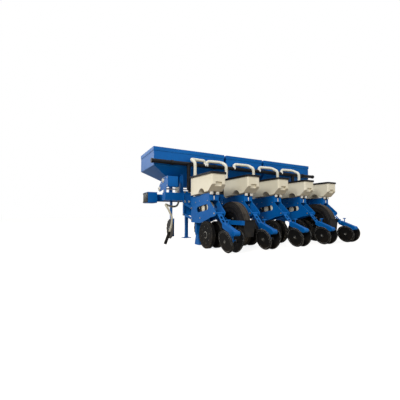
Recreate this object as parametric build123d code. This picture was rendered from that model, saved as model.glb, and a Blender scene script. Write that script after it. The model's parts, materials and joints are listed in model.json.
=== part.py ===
"""Five-row mounted vacuum seed planter with fertiliser boxes.

X runs across the machine (+X is its right side), Y points the way it travels, Z is up.
The origin is on the ground under the middle of the machine. Sizes are in millimetres.
"""
import os
from math import atan2, cos, degrees, hypot, radians, sin, tan

from build123d import *

os.makedirs("parts", exist_ok=True)

# Rows and clearances
ROW_PITCH = 650
ROW_COUNT = 5
ROWS = [(i - (ROW_COUNT - 1) / 2) * ROW_PITCH for i in range(ROW_COUNT)]
SIDES = (-1, 1)
SIDE_NAMES = {-1: "left", 1: "right"}
RUN_FIT = 0.06
RUN_GAP = 6
FACE_GAP = 0.3
END_PLAY = 2

# Toolbar, front beam and the stringers between them
BEAM = 140
BEAM_Z = 830
BEAM_HALF = 1720
TOOLBAR_Y = 310
FRONT_BEAM_Y = 850
STRINGER = 100
STRINGER_INSET = 160
BEAM_TOP = BEAM_Z + BEAM / 2
BEAM_BOTTOM = BEAM_Z - BEAM / 2
TOOLBAR_REAR = TOOLBAR_Y - BEAM / 2
TOOLBAR_FRONT = TOOLBAR_Y + BEAM / 2
BEAM_REAR = FRONT_BEAM_Y - BEAM / 2
BEAM_FRONT = FRONT_BEAM_Y + BEAM / 2

# Parallel links and their head brackets
HEAD_PLATE_T = 14
HEAD_EAR_T = 10
HEAD_PIN_BACK = 35
HEAD_PIN_Z = 504
LINK_REACH = 357
LINK_DROP = 84
LINK_SPREAD = 190
LINK_W = 40
LINK_T = 12
LINK_X = 58
LINK_PIN_R = 12
LINK_PIN_END = 8
LINK_HEAD_Y = TOOLBAR_REAR - HEAD_PIN_BACK
LINK_BODY_Y = LINK_HEAD_Y - LINK_REACH
LINK_BODY_Z = HEAD_PIN_Z - LINK_DROP

# Row-unit bodies
BODY_NOSE = 27
BODY_LEN = 615
BODY_W = 164
BODY_PLATE_T = 8
BODY_FRONT_TOP_Z = 795
BODY_REAR_TOP_Z = 836
BODY_FRONT_LOW_Z = 372
BODY_HEEL_Z = 450
BODY_CORNER = 12
TAIL_LEN = 185
TAIL_R = 40
TAIL_Z = 525
SLOT_L = 370
SLOT_W = 92
SLOT_TILT = 7
SHANK_BACK = 85
SHANK_D = 46
SHANK_W = 96
SHANK_TOP_Z = 640
SHOE_W = 56
SHOE_LEN = 140
SHOE_Z = 5
CROSS_T = 10
BODY_FRONT_Y = LINK_BODY_Y + BODY_NOSE
BODY_REAR_Y = BODY_FRONT_Y - BODY_LEN
BODY_OUT = BODY_W / 2
BODY_IN = BODY_OUT - BODY_PLATE_T
TAIL_Y = BODY_REAR_Y - TAIL_LEN + TAIL_R
SHANK_FRONT_Y = BODY_FRONT_Y - SHANK_BACK
SHANK_REAR_Y = SHANK_FRONT_Y - SHANK_D

# Seed meters
METER_R = 118
METER_W = 124
METER_BACK = 395
METER_Z = 602
INLET_W = 92
INLET_D = 90
INLET_AHEAD = 125
PORT_UP = 103
METER_Y = BODY_FRONT_Y - METER_BACK

# Opener discs
DISC_R = 178
DISC_T = 4
DISC_DEPTH = 10
DISC_BACK = 40
DISC_OFFSET = 15
DISC_TOE = 4
DISC_HUB_R = 36
DISC_HUB_T = 10
DISC_STUB_R = 12
LEG_T = 16
DISC_Y = METER_Y - DISC_BACK
DISC_Z = DISC_R + DISC_DEPTH

# Gauge wheels beside the openers
GAUGE_R = 203
GAUGE_W = 62
GAUGE_TRAIL = 107
GAUGE_AXLE_R = 14
GAUGE_HUB_R = 36
GAUGE_CAP_R = 42
GAUGE_BAND = 22
GAUGE_WEB = 10
GAUGE_DISH = 6
GAUGE_ARM_T = 12
GAUGE_ARM_R = 27
GAUGE_PIVOT_R = 16
GAUGE_PIVOT_UP = 249
GAUGE_PIVOT_AHEAD = 212
DISC_OUT = DISC_OFFSET + DISC_R * sin(radians(DISC_TOE)) + DISC_T / 2
GAUGE_ARM_IN = DISC_OUT + RUN_GAP / 2
GAUGE_IN = GAUGE_ARM_IN + GAUGE_ARM_T + RUN_GAP
GAUGE_Y = DISC_Y - GAUGE_TRAIL
GAUGE_Z = GAUGE_R
GAUGE_PIVOT_Y = GAUGE_Y + GAUGE_PIVOT_AHEAD
GAUGE_PIVOT_Z = GAUGE_Z + GAUGE_PIVOT_UP

# Press wheels in a V behind each row, and the arm that carries them
PRESS_R = 152.5
PRESS_W = 25
PRESS_CAMBER = 14
PRESS_OFFSET = 92
PRESS_TRAIL = 510.5
PRESS_AXLE_R = 9
PRESS_HUB_R = 22
PRESS_HUB_IN = 30
PRESS_BAND = 24
BAR_W = 76
BAR_T = 10
BAR_RUN = 160
BAR_DROP = 175
BAR_HOLE_W = 40
BAR_HOLE_L = 48
PRESS_PIVOT_R = 18
ARM_W = 60
ARM_HEEL_R = 38
BOSS_R = 34
BOSS_W = 88
BOSS_BACK = 112
BOSS_UP = 111
FORK_W = 22
FORK_D = 76
LEVER_R = 8
LEVER_H = 80
LEVER_BAR = 72
PRESS_LEAN = radians(PRESS_CAMBER)
PRESS_Y = GAUGE_Y - PRESS_TRAIL
PRESS_Z = PRESS_R * cos(PRESS_LEAN) + PRESS_W / 2 * sin(PRESS_LEAN)
BAR_END_Y = TAIL_Y - BAR_RUN
BAR_END_Z = TAIL_Z - BAR_DROP
BOSS_Y = PRESS_Y - BOSS_BACK
BOSS_Z = PRESS_Z + BOSS_UP

# Seed hoppers and their lids
HOP_SETBACK = 103
HOP_DEPTH = 654
HOP_REAR_W = 241
HOP_FRONT_W = 290
HOP_TOP_Z = 1120
HOP_BEND_Z = 950
HOP_TOE = 107
HOP_LIFT = 14
HOP_WALL = 5
HOP_CORNER = 24
HOP_ARCH_R = 92
HOP_ARCH_BACK = 362
HOP_ARCH_DROP = 11
ARCH_LIP = 10
ARCH_LIP_T = 4
HANDLE_W = 110
HANDLE_D = 30
HANDLE_TOP_Z = 985
SEAT_DROP = 10
FOOT_W = 36
FOOT_X = 53
LID_T = 5
LID_LIP = 30
LID_SKIRT = 8
LID_CORNER = 20
HOP_HINGE_AHEAD = 14
HOP_HINGE_UP = 2
HOP_HINGE_X = 80
HOP_HINGE_W = 30
HOP_PIN_R = 4
HOP_FRONT_Y = BODY_FRONT_Y - HOP_SETBACK
HOP_REAR_Y = HOP_FRONT_Y - HOP_DEPTH
HOP_TOE_Y = HOP_REAR_Y + HOP_TOE
HOP_ARCH_Y = HOP_FRONT_Y - HOP_ARCH_BACK

# Ground drive wheels, their arms and scrapers
TYRE_R = 352
TYRE_W = 165
TYRE_SHOULDER = 58
TYRE_CROWN = 110
RIM_R = 215
RIM_W = 125
RIM_T = 14
RIM_HUB_R = 52
RIM_HUB_W = 110
RIM_WEB = 12
RIM_DISH = 40
WHEEL_TRAIL = 1079
WHEEL_AXLE_R = 22
WHEEL_ARM_T = 40
WHEEL_ARM_R = 68
WHEEL_BAR_D = 60
SCRAPER_W = 220
SCRAPER_T = 6
SCRAPER_LOW_Z = 190
SCRAPER_TOP_Z = 430
SCRAPER_FLANGE = 40
TYRE_X = (ROWS[-1] + ROWS[-2]) / 2
TYRE_Y = TOOLBAR_Y - WHEEL_TRAIL
WHEEL_ARM_IN = TYRE_X + TYRE_W / 2 + RUN_GAP
WHEEL_ARM_OUT = WHEEL_ARM_IN + WHEEL_ARM_T
SCRAPER_Y = TYRE_Y - TYRE_R - RUN_GAP

# Fertiliser boxes, their lids and posts
BOX_DEPTH = 857
BOX_AHEAD = 8.5
BOX_TOP_Z = 1670
BOX_FOLD_Z = 1357
BOX_OUTLET_Z = 1040
BOX_OUTLET_D = 150
BOX_WALL = 4
BOX_LID_T = 4
BOX_LID_H = 66
BOX_LID_WALL = 3
BOX_HINGE_AHEAD = 16
BOX_HINGE_DROP = 2
BOX_HINGE_W = 50
BOX_PIN_R = 5
SIDE_BOX_X = 1241
SIDE_BOX_W = 1430
MIDDLE_BOX_W = 910
OUTLET_MARGIN = 80
MIDDLE_OUTLET_W = 300
POST = 60
POST_INSET = 340
POST_INNER_X = 700
POST_X = (POST_INSET - BEAM_HALF, -POST_INNER_X, 0, POST_INNER_X, BEAM_HALF - POST_INSET)
BOX_MID_Y = (TOOLBAR_Y + FRONT_BEAM_Y) / 2 + BOX_AHEAD
BOX_REAR_Y = BOX_MID_Y - BOX_DEPTH / 2
BOX_FRONT_Y = BOX_MID_Y + BOX_DEPTH / 2
SIDE_OUTLET = (ROWS[-2] - OUTLET_MARGIN, ROWS[-1] + OUTLET_MARGIN)
BOX_TABLE = [
    {"name": "left", "x": -SIDE_BOX_X, "width": SIDE_BOX_W, "outlet": (-SIDE_OUTLET[1], -SIDE_OUTLET[0])},
    {"name": "middle", "x": 0, "width": MIDDLE_BOX_W, "outlet": (-MIDDLE_OUTLET_W / 2, MIDDLE_OUTLET_W / 2)},
    {"name": "right", "x": SIDE_BOX_X, "width": SIDE_BOX_W, "outlet": SIDE_OUTLET},
]

# Fertiliser meters on their common shaft, and the drive at its left end
FERT_METER_D = 124
FERT_METER_W = 120
FERT_METER_H = 115
FERT_NECK = 35
FERT_SHAFT_R = 13
FERT_SHAFT_DROP = 42
SPOUT_R = 24
SPOUT_LEN = 32
SHAFT_END = 110
DRIVE_INSET = 16
DRIVE_PLATE_T = 10
COVER_W = 190
COVER_D = 120
COVER_H = 196
COVER_LIFT = 93
COVER_BACK = 98
COVER_CORNER = 14
COVER_LIP = 6
DRIVE_BEARING = 60
CASE_W = 180
CASE_D = 330
CASE_H = 210
CASE_CORNER = 14
DRIVE_X = BEAM_HALF - DRIVE_INSET
FERT_SHAFT_Z = BOX_OUTLET_Z - FERT_SHAFT_DROP
FERT_LOW_Z = BOX_OUTLET_Z - FERT_METER_H
SPOUT_Z = FERT_LOW_Z - SPOUT_LEN
COVER_REAR_Y = TOOLBAR_REAR - COVER_BACK
COVER_LOW_Z = BEAM_TOP + COVER_LIFT
COVER_TOP_Z = COVER_LOW_Z + COVER_H

# Vacuum pipes, hoses and fan
PIPE_R = 36
PIPE_BACK = 73
PIPE_Z = 1412
PIPE_HALF = 2027
DROP_R = 34
DROP_SHIFT = 30
DROP_BEND = 45
SUCTION_LIFT = 40
SUCTION_X = 325
SUCTION_PORT_X = 140
COLLAR_R = 34
COLLAR_UP = 4
CLAMP_R = 44
CLAMP_W = 46
CLAMP_X = (1652, 780)
HOSE_R = 30
HOSE_BENDS = (46, 60, 90, 100)
HOSE_ARCH = 88
HOSE_FALL = 90
HOSE_AHEAD = 13
FITTING_SHIFT = 330
FITTING_CLOSE = 24
FAN_R = 235
FAN_T = 140
FAN_GAP = 18
FAN_Z = 1085
FAN_OUTLET_W = 145
FAN_OUTLET_H = 90
GUARD_T = 46
GUARD_R = 95
PTO_R = 17.4
PTO_Z = 640
PTO_HUB_R = 40
PTO_HUB_L = 30
PTO_LEN = 87
PIPE_Y = BOX_REAR_Y - PIPE_BACK
COLLAR_TOP = PIPE_Z + PIPE_R + COLLAR_UP
SUCTION_Z = BEAM_TOP + SUCTION_LIFT
FAN_REAR = BOX_FRONT_Y + FAN_GAP
FAN_FRONT = FAN_REAR + FAN_T
GUARD_FRONT = FAN_FRONT + GUARD_T
HOSE_TABLE = [
    {"row": 0, "shift": FITTING_SHIFT - FITTING_CLOSE},
    {"row": 1, "shift": FITTING_CLOSE - FITTING_SHIFT},
    {"row": 2, "shift": -FITTING_SHIFT},
    {"row": 3, "shift": -FITTING_SHIFT},
    {"row": 4, "shift": -FITTING_SHIFT},
]

# Three-point hitch and parking stands
LOWER_PIN_R = 14.2
LOWER_PIN_LEN = 70
LOWER_PIN_Z = 560
LOWER_SPAN = 825
HITCH_REACH = 365
HITCH_PLATE_T = 20
HITCH_END_R = 45
MAST_HEIGHT = 610
MAST_T = 24
MAST_GAP = 8
MAST_BAR_H = 60
MAST_LEG_W = 62
TOP_PIN_R = 12.9
TOP_EAR_R = 42
TOP_EAR_IN = 30
TOP_EAR_T = 16
FAN_SEAT_W = 300
STAND = 60
STAND_X = TYRE_X
FOOT_PLATE = 160
FOOT_PLATE_T = 12
LOWER_PIN_Y = BEAM_FRONT + HITCH_REACH
TOP_PIN_Z = LOWER_PIN_Z + MAST_HEIGHT
MAST_REAR = GUARD_FRONT + MAST_GAP
MAST_FRONT = MAST_REAR + MAST_T

# Fertiliser openers and hoses
COULTER_R = 200
COULTER_T = 5
COULTER_DEPTH = 8
COULTER_SIDE = 90
COULTER_NOTCHES = 14
NOTCH_R = 22
NOTCH_OUT = 8
COULTER_AXLE_R = 20
COULTER_LEG_T = 24
COULTER_LEG_R = 25
COULTER_FOOT_R = 34
COULTER_GAP = 8
TUBE_R = 26
TUBE_TOP_Z = 420
TUBE_LOW_Z = 60
TUBE_BACK = 76
TUBE_BRACE_Z = 330
FERT_HOSE_R = 18.5
FERT_HOSE_BEND = 110
BEND_SHARE = 0.45
FERT_HOSE_DIP_Z = 700
FERT_HOSE_TURN_Z = 600
BOOT_R = 25
BOOT_LEN = 215
COULTER_Z = COULTER_R + COULTER_DEPTH
LOOSE_PATH = [
    (ROWS[0], BOX_MID_Y, SPOUT_Z),
    (ROWS[0], BOX_MID_Y, 680),
    (-1500, 470, 640),
    (-1745, 200, 700),
    (-1730, 40, 600),
    (-1640, 30, 400),
    (-1715, 20, 215),
]


def save(name, shape):
    """Write one piece of the machine to its own file."""
    export_step(shape, f"parts/{name}.step")


def block(x0, x1, y0, y1, z0, z1):
    """A box between two limits on each axis."""
    return Pos((x0 + x1) / 2, (y0 + y1) / 2, (z0 + z1) / 2) * Box(abs(x1 - x0), abs(y1 - y0), abs(z1 - z0))


def plate(outline, x0, x1):
    """A plate cut to a side-view outline, between two X planes."""
    return extrude(Plane.YZ.offset(x0) * outline, amount=x1 - x0, dir=(1, 0, 0))


def upright(outline, y0, y1):
    """A plate cut to a rear-view outline, between two Y planes."""
    return extrude(Plane.XZ.offset(-y0) * outline, amount=y1 - y0, dir=(0, 1, 0))


def wrapped(rounds):
    """A flat outline drawn tight round several (u, v, radius) circles."""
    return make_hull([edge for u, v, radius in rounds for edge in (Pos(u, v) * Circle(radius)).edges()])


def rod(start, end, radius):
    """A round bar between two points."""
    along = Vector(end) - Vector(start)
    bar = extrude(Circle(radius), amount=along.length)
    return Plane(origin=start, z_dir=along) * bar


def cross_rod(y, z, half, radius):
    """A round bar across the row centre."""
    return rod((-half, y, z), (half, y, z), radius)


def hose(points, radius, bend):
    """A round hose along straight runs joined by arcs."""
    path = FilletPolyline(*points, radius=bend)
    return sweep(Plane(path @ 0, z_dir=path % 0) * Circle(radius), path=path)


def turned(profile):
    """A wheel turned from (radius, width) points about its own Z axis."""
    return revolve(Plane.XZ * Polygon(*profile, align=None), axis=Axis.Z)


def on_side(x, y, z, side, lean=0):
    """Placement whose Z axis points outwards to one side, leaned by an angle."""
    return Location(Plane(origin=(x, y, z), x_dir=(0, side, 0), z_dir=(side * cos(lean), 0, -sin(lean))))


def across(shapes):
    """A row's shapes repeated at every row, as one piece of separate solids."""
    return Compound(children=[Pos(x, 0, 0) * shape for x in ROWS for shape in shapes])


def mirrored(shape):
    """A shape joined with its mirror image across the centre."""
    return shape + mirror(shape, about=Plane.YZ)


def pair(shape):
    """A shape and its mirror image as two separate solids."""
    return [shape, mirror(shape, about=Plane.YZ)]


def hinge(places, y, z, wall_y, leaf_y, leaf_z0, leaf_z1, width, pin_r):
    """Fixed lugs with their pin, and the knuckles of the lid that turns on it."""
    lug = 8
    barrel_r = pin_r + 5
    fixed = []
    moving = []
    for x in places:
        x0 = x - width / 2
        x1 = x + width / 2
        knuckle = rod((x0, y, z), (x1, y, z), barrel_r) + block(x0, x1, leaf_y, y, leaf_z0, leaf_z1)
        moving.append(knuckle - rod((x0, y, z), (x1, y, z), pin_r + RUN_FIT))
        ears = rod((x0 - END_PLAY - lug, y, z), (x1 + END_PLAY + lug, y, z), pin_r)
        for start in (x0 - END_PLAY - lug, x1 + END_PLAY):
            ears += block(start, start + lug, wall_y, y + barrel_r, z - barrel_r, z + barrel_r)
        fixed.append(ears)
    return fixed, moving


def body_top(y):
    """Height of a row body's sloping top edge."""
    along = (BODY_FRONT_Y - y) / BODY_LEN
    return BODY_FRONT_TOP_Z + along * (BODY_REAR_TOP_Z - BODY_FRONT_TOP_Z)


HOP_ARCH_Z = body_top(HOP_ARCH_Y) - HOP_ARCH_DROP
HOP_FRONT_LOW_Z = body_top(HOP_FRONT_Y) + HOP_LIFT
HOP_TOE_Z = body_top(HOP_TOE_Y) + HOP_LIFT
HOP_FRONT_SEAT_Z = body_top(HOP_FRONT_Y) - SEAT_DROP
HOP_REAR_SEAT_Z = body_top(BODY_REAR_Y) - SEAT_DROP

# Press wheels: rubber-faced discs on stub axles
press_half = PRESS_W / 2
press_face = PRESS_W / 4
press_wheel = turned(
    [
        (PRESS_AXLE_R + RUN_FIT, -PRESS_HUB_IN),
        (PRESS_HUB_R, -PRESS_HUB_IN),
        (PRESS_HUB_R, -press_half),
        (PRESS_R, -press_half),
        (PRESS_R, press_face),
        (PRESS_R - PRESS_BAND / 2, press_half),
        (PRESS_R - PRESS_BAND, press_half),
        (PRESS_R - PRESS_BAND, press_face),
        (PRESS_HUB_R, press_face),
        (PRESS_HUB_R, press_half),
        (0, press_half),
        (0, press_face),
        (PRESS_AXLE_R + RUN_FIT, press_face),
    ]
)
for number, x in enumerate(ROWS, 1):
    for side in SIDES:
        place = on_side(x + side * PRESS_OFFSET, PRESS_Y, PRESS_Z, side, PRESS_LEAN)
        save(f"press_wheel_{number}_{SIDE_NAMES[side]}", place * press_wheel)

# Gauge wheels: deep-dished rims, open towards the opener discs
gauge_face = GAUGE_W - GAUGE_DISH
gauge_web = gauge_face - GAUGE_WEB
gauge_wheel = turned(
    [
        (GAUGE_AXLE_R + RUN_FIT, 0),
        (GAUGE_HUB_R, 0),
        (GAUGE_HUB_R, gauge_web),
        (GAUGE_R - GAUGE_BAND, gauge_web),
        (GAUGE_R - GAUGE_BAND, 0),
        (GAUGE_R - GAUGE_DISH, 0),
        (GAUGE_R, GAUGE_DISH),
        (GAUGE_R, gauge_face),
        (GAUGE_R - GAUGE_DISH, GAUGE_W),
        (GAUGE_R - GAUGE_BAND - GAUGE_DISH, GAUGE_W),
        (GAUGE_R - GAUGE_BAND - 2 * GAUGE_DISH, gauge_face),
        (GAUGE_CAP_R, gauge_face),
        (GAUGE_CAP_R, GAUGE_W),
        (0, GAUGE_W),
        (0, gauge_face),
        (GAUGE_AXLE_R + RUN_FIT, gauge_face),
    ]
)
for number, x in enumerate(ROWS, 1):
    for side in SIDES:
        place = on_side(x + side * GAUGE_IN, GAUGE_Y, GAUGE_Z, side)
        save(f"gauge_wheel_{number}_{SIDE_NAMES[side]}", place * gauge_wheel)

# Ground drive wheels: plain-section tyre on a dished steel rim
tyre_half = TYRE_W / 2
rim_half = RIM_W / 2
hub_half = RIM_HUB_W / 2
tyre = turned(
    [
        (RIM_R, -rim_half),
        (TYRE_R - TYRE_SHOULDER, -tyre_half),
        (TYRE_R, -TYRE_CROWN / 2),
        (TYRE_R, TYRE_CROWN / 2),
        (TYRE_R - TYRE_SHOULDER, tyre_half),
        (RIM_R, rim_half),
    ]
)
rim_seat = RIM_R - FACE_GAP
rim_in = RIM_R - RIM_T
rim = turned(
    [
        (WHEEL_AXLE_R + RUN_FIT, -hub_half),
        (RIM_HUB_R, -hub_half),
        (RIM_HUB_R, -RIM_WEB / 2),
        (rim_in - RIM_DISH, -RIM_WEB / 2),
        (rim_in, -RIM_DISH),
        (rim_in, -rim_half),
        (rim_seat, -rim_half),
        (rim_seat, rim_half),
        (rim_in, rim_half),
        (rim_in, RIM_WEB - RIM_DISH),
        (rim_in - RIM_DISH, RIM_WEB / 2),
        (RIM_HUB_R, RIM_WEB / 2),
        (RIM_HUB_R, hub_half),
        (0, hub_half),
        (0, hub_half - RIM_WEB),
        (WHEEL_AXLE_R + RUN_FIT, hub_half - RIM_WEB),
    ]
)
for side in SIDES:
    place = on_side(side * TYRE_X, TYRE_Y, TYRE_R, -side)
    save(f"tyre_{SIDE_NAMES[side]}", place * tyre)
    save(f"rim_{SIDE_NAMES[side]}", place * rim)

# Arms that carry the ground wheels from the toolbar, on the outer side of each tyre
bar_low = TYRE_R + WHEEL_ARM_R - WHEEL_BAR_D
bar_high = TYRE_R + WHEEL_ARM_R
arm_head = [(TOOLBAR_REAR - BEAM / 2, BEAM_Z, BEAM / 2), (TYRE_Y, TYRE_R, WHEEL_ARM_R)]
wheel_arm = plate(wrapped(arm_head), WHEEL_ARM_IN, WHEEL_ARM_OUT)
wheel_arm += block(WHEEL_ARM_IN, WHEEL_ARM_OUT, TOOLBAR_REAR - BEAM / 2, TOOLBAR_REAR, BEAM_BOTTOM, BEAM_TOP)
wheel_arm += block(WHEEL_ARM_IN, WHEEL_ARM_OUT, SCRAPER_Y - SCRAPER_FLANGE, TYRE_Y, bar_low, bar_high)
axle_tip = TYRE_X - hub_half + RIM_WEB + END_PLAY
wheel_arm += rod((WHEEL_ARM_IN, TYRE_Y, TYRE_R), (axle_tip, TYRE_Y, TYRE_R), WHEEL_AXLE_R)
save("wheel_arms", Compound(children=pair(wheel_arm)))

# Scraper plates behind the ground tyres, hung from the ends of the arms
scraper_in = WHEEL_ARM_IN - SCRAPER_W
blade = Polygon(
    (scraper_in, SCRAPER_TOP_Z),
    (WHEEL_ARM_IN, SCRAPER_TOP_Z),
    (WHEEL_ARM_IN, SCRAPER_TOP_Z - SCRAPER_FLANGE),
    (WHEEL_ARM_IN - SCRAPER_FLANGE, SCRAPER_LOW_Z),
    (scraper_in + SCRAPER_FLANGE, SCRAPER_LOW_Z),
    (scraper_in, SCRAPER_TOP_Z - SCRAPER_FLANGE),
    align=None,
)
scraper = upright(blade, SCRAPER_Y - SCRAPER_T, SCRAPER_Y)
flange_y = SCRAPER_Y - SCRAPER_FLANGE
scraper += block(scraper_in, WHEEL_ARM_IN, flange_y, SCRAPER_Y, SCRAPER_TOP_Z - SCRAPER_T, SCRAPER_TOP_Z)
save("tyre_scrapers", Compound(children=pair(scraper)))

# Opener discs in a shallow V, each on a stub of the row body
disc = Cylinder(DISC_R, DISC_T) + Pos(0, 0, (DISC_T + DISC_HUB_T) / 2) * Cylinder(DISC_HUB_R, DISC_HUB_T)
disc -= Cylinder(DISC_STUB_R + RUN_FIT, 4 * DISC_HUB_T)
discs = []
stubs = []
for side in SIDES:
    toe = radians(DISC_TOE)
    outwards = (side * cos(toe), -sin(toe), 0)
    seat = Location(Plane(origin=(side * DISC_OFFSET, DISC_Y, DISC_Z), x_dir=(0, 0, 1), z_dir=outwards))
    discs.append(seat * disc)
    stubs.append(seat * Cylinder(DISC_STUB_R, DISC_T + 2 * DISC_HUB_T))
save("opener_discs", across(discs))

# Row bodies: slotted side plates with a tail, cross plates, opener leg, front shank with its shoe
side_outline = Polygon(
    (BODY_FRONT_Y, BODY_FRONT_TOP_Z),
    (BODY_REAR_Y, BODY_REAR_TOP_Z),
    (BODY_REAR_Y, BODY_HEEL_Z),
    (GAUGE_PIVOT_Y, BODY_FRONT_LOW_Z),
    (BODY_FRONT_Y, BODY_FRONT_LOW_Z),
    align=None,
)
side_outline = fillet(side_outline.vertices(), BODY_CORNER)
side_outline += wrapped(
    [
        (TAIL_Y, TAIL_Z, TAIL_R),
        (BODY_REAR_Y + TAIL_R, BODY_HEEL_Z + TAIL_R, TAIL_R),
        (BODY_REAR_Y + TAIL_R, METER_Z + SLOT_W, TAIL_R),
    ]
)
side_outline -= Pos(METER_Y, METER_Z) * Rot(0, 0, -SLOT_TILT) * SlotOverall(SLOT_L, SLOT_W)
side_plate = plate(side_outline, BODY_IN, BODY_OUT)
row_body = mirrored(side_plate)
seat_y = HOP_FRONT_Y - HOP_CORNER
row_body += block(-BODY_IN, BODY_IN, BODY_REAR_Y, BODY_REAR_Y + CROSS_T, METER_Z + METER_R, HOP_REAR_SEAT_Z)
seat_low = HOP_FRONT_SEAT_Z - 4 * CROSS_T
row_body += block(-BODY_IN, BODY_IN, seat_y - CROSS_T, seat_y, seat_low, HOP_FRONT_SEAT_Z)
leg_top = METER_Z - METER_R - FACE_GAP
leg_rear = DISC_Y - DISC_HUB_R
leg_front = DISC_Y + DISC_HUB_R
row_body += block(-BODY_IN, BODY_IN, leg_rear, leg_front, leg_top - CROSS_T, leg_top)
row_body += block(-LEG_T / 2, LEG_T / 2, leg_rear, leg_front, DISC_Z - DISC_HUB_R, leg_top)
for stub in stubs:
    row_body += stub
row_body += block(-SHANK_W / 2, SHANK_W / 2, SHANK_REAR_Y, SHANK_FRONT_Y, DISC_Z, SHANK_TOP_Z)
for z in (SHANK_TOP_Z - SHANK_D, BODY_FRONT_LOW_Z + CROSS_T):
    row_body += block(-BODY_IN, BODY_IN, SHANK_REAR_Y + CROSS_T, SHANK_FRONT_Y - CROSS_T, z, z + SHANK_D)
shoe = wrapped(
    [
        (SHANK_REAR_Y + SHANK_D / 2, DISC_Z + SHANK_D / 2, SHANK_D / 2),
        (SHANK_FRONT_Y + SHANK_D, SHOE_Z + CROSS_T, CROSS_T),
        (SHANK_FRONT_Y + SHANK_D - SHOE_LEN, SHOE_Z + CROSS_T, CROSS_T),
    ]
)
row_body += plate(shoe, -SHOE_W / 2, SHOE_W / 2)
for z in (LINK_BODY_Z, LINK_BODY_Z + LINK_SPREAD):
    row_body += cross_rod(LINK_BODY_Y, z, BODY_OUT + LINK_PIN_END, LINK_PIN_R)
save("row_bodies", across([row_body]))

# Gauge-wheel arms: flat bars between the discs and the wheels, with pivot pin and stub axle
arm_flat = wrapped([(GAUGE_Y, GAUGE_Z, GAUGE_ARM_R), (GAUGE_PIVOT_Y, GAUGE_PIVOT_Z, GAUGE_ARM_R)])
gauge_arm = plate(arm_flat, GAUGE_ARM_IN, GAUGE_ARM_IN + GAUGE_ARM_T)
axle_end = GAUGE_IN + gauge_face - END_PLAY
for y, z, end, radius in (
    (GAUGE_PIVOT_Y, GAUGE_PIVOT_Z, BODY_IN, GAUGE_PIVOT_R),
    (GAUGE_Y, GAUGE_Z, axle_end, GAUGE_AXLE_R),
):
    gauge_arm += rod((GAUGE_ARM_IN, y, z), (end, y, z), radius)
save("gauge_arms", across(pair(gauge_arm)))

# Press-wheel arms: ladder bar on a pivot, tapered arm with end boss, axle fork and set lever
bar_len = hypot(BAR_RUN, BAR_DROP)
bar_mid = (0, (TAIL_Y + BAR_END_Y) / 2, (TAIL_Z + BAR_END_Z) / 2)
bar_face = Rectangle(BAR_W, bar_len)
for shift in SIDES:
    bar_face -= Pos(0, shift * 0.7 * BAR_HOLE_L) * Rectangle(BAR_HOLE_W, BAR_HOLE_L)
bar_plane = Plane(origin=bar_mid, x_dir=(1, 0, 0), z_dir=(0, BAR_DROP, -BAR_RUN))
press_arm = extrude(bar_plane * bar_face, amount=BAR_T / 2, both=True)
press_arm += cross_rod(TAIL_Y, TAIL_Z, BODY_IN, PRESS_PIVOT_R)
arm_flat = wrapped([(BAR_END_Y, BAR_END_Z, ARM_HEEL_R), (BOSS_Y, BOSS_Z, BOSS_R)])
press_arm += plate(arm_flat, -ARM_W / 2, ARM_W / 2)
press_arm += cross_rod(BOSS_Y, BOSS_Z, BOSS_W / 2, BOSS_R)
fork_rear = PRESS_Y - FORK_D / 2
fork_low = PRESS_Z - PRESS_AXLE_R
press_arm += block(-FORK_W / 2, FORK_W / 2, fork_rear, fork_rear + FORK_D, fork_low, BOSS_Z + BOSS_R)
axle_apex = PRESS_Z + PRESS_OFFSET * tan(PRESS_LEAN)
axle_reach = PRESS_OFFSET + (press_face - END_PLAY) * cos(PRESS_LEAN)
for side in SIDES:
    tip = (side * axle_reach, PRESS_Y, axle_apex - axle_reach * tan(PRESS_LEAN))
    press_arm += rod((0, PRESS_Y, axle_apex), tip, PRESS_AXLE_R)
lever_y = (BAR_END_Y + PRESS_Y) / 2
lever_z = (BAR_END_Z + BOSS_Z) / 2
press_arm += rod((0, lever_y, lever_z), (0, lever_y, BAR_END_Z + LEVER_H), LEVER_R)
press_arm += cross_rod(lever_y, BAR_END_Z + LEVER_H, LEVER_BAR / 2, LEVER_R)
save("press_arms", across([press_arm]))


# Seed hoppers: tapered tubs with a cranked rear wall, a handle pocket and an arch over the meter
def hopper_form(inset, headroom):
    """Solid form of a hopper, drawn in by a wall thickness and raised at its top."""
    top = HOP_TOP_Z + headroom
    rear = HOP_REAR_Y + inset
    front = HOP_FRONT_Y - inset
    corner = HOP_CORNER - inset
    side = Polygon(
        (rear, top),
        (rear, HOP_BEND_Z + inset / 2),
        (HOP_TOE_Y + inset / 2, HOP_TOE_Z + inset),
        (front, HOP_FRONT_LOW_Z + inset),
        (front, top),
        align=None,
    )
    side = fillet(side.vertices().sort_by(Axis.Y)[:3], corner)
    plan = Polygon(
        (-HOP_REAR_W / 2 + inset, rear),
        (HOP_REAR_W / 2 - inset, rear),
        (HOP_FRONT_W / 2 - inset, front),
        (-HOP_FRONT_W / 2 + inset, front),
        align=None,
    )
    plan = fillet(plan.vertices(), corner)
    form = extrude(Plane.YZ * side, amount=HOP_FRONT_W, both=True)
    form &= extrude(plan, amount=2 * HOP_TOP_Z)
    form -= cross_rod(HOP_ARCH_Y, HOP_ARCH_Z, HOP_FRONT_W, HOP_ARCH_R + inset)
    pocket_x = HANDLE_W / 2 + inset
    pocket_y = HOP_REAR_Y + HANDLE_D + inset
    return form - block(-pocket_x, pocket_x, HOP_REAR_Y - HANDLE_D, pocket_y, HOP_TOE_Z, HANDLE_TOP_Z + inset)


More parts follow.
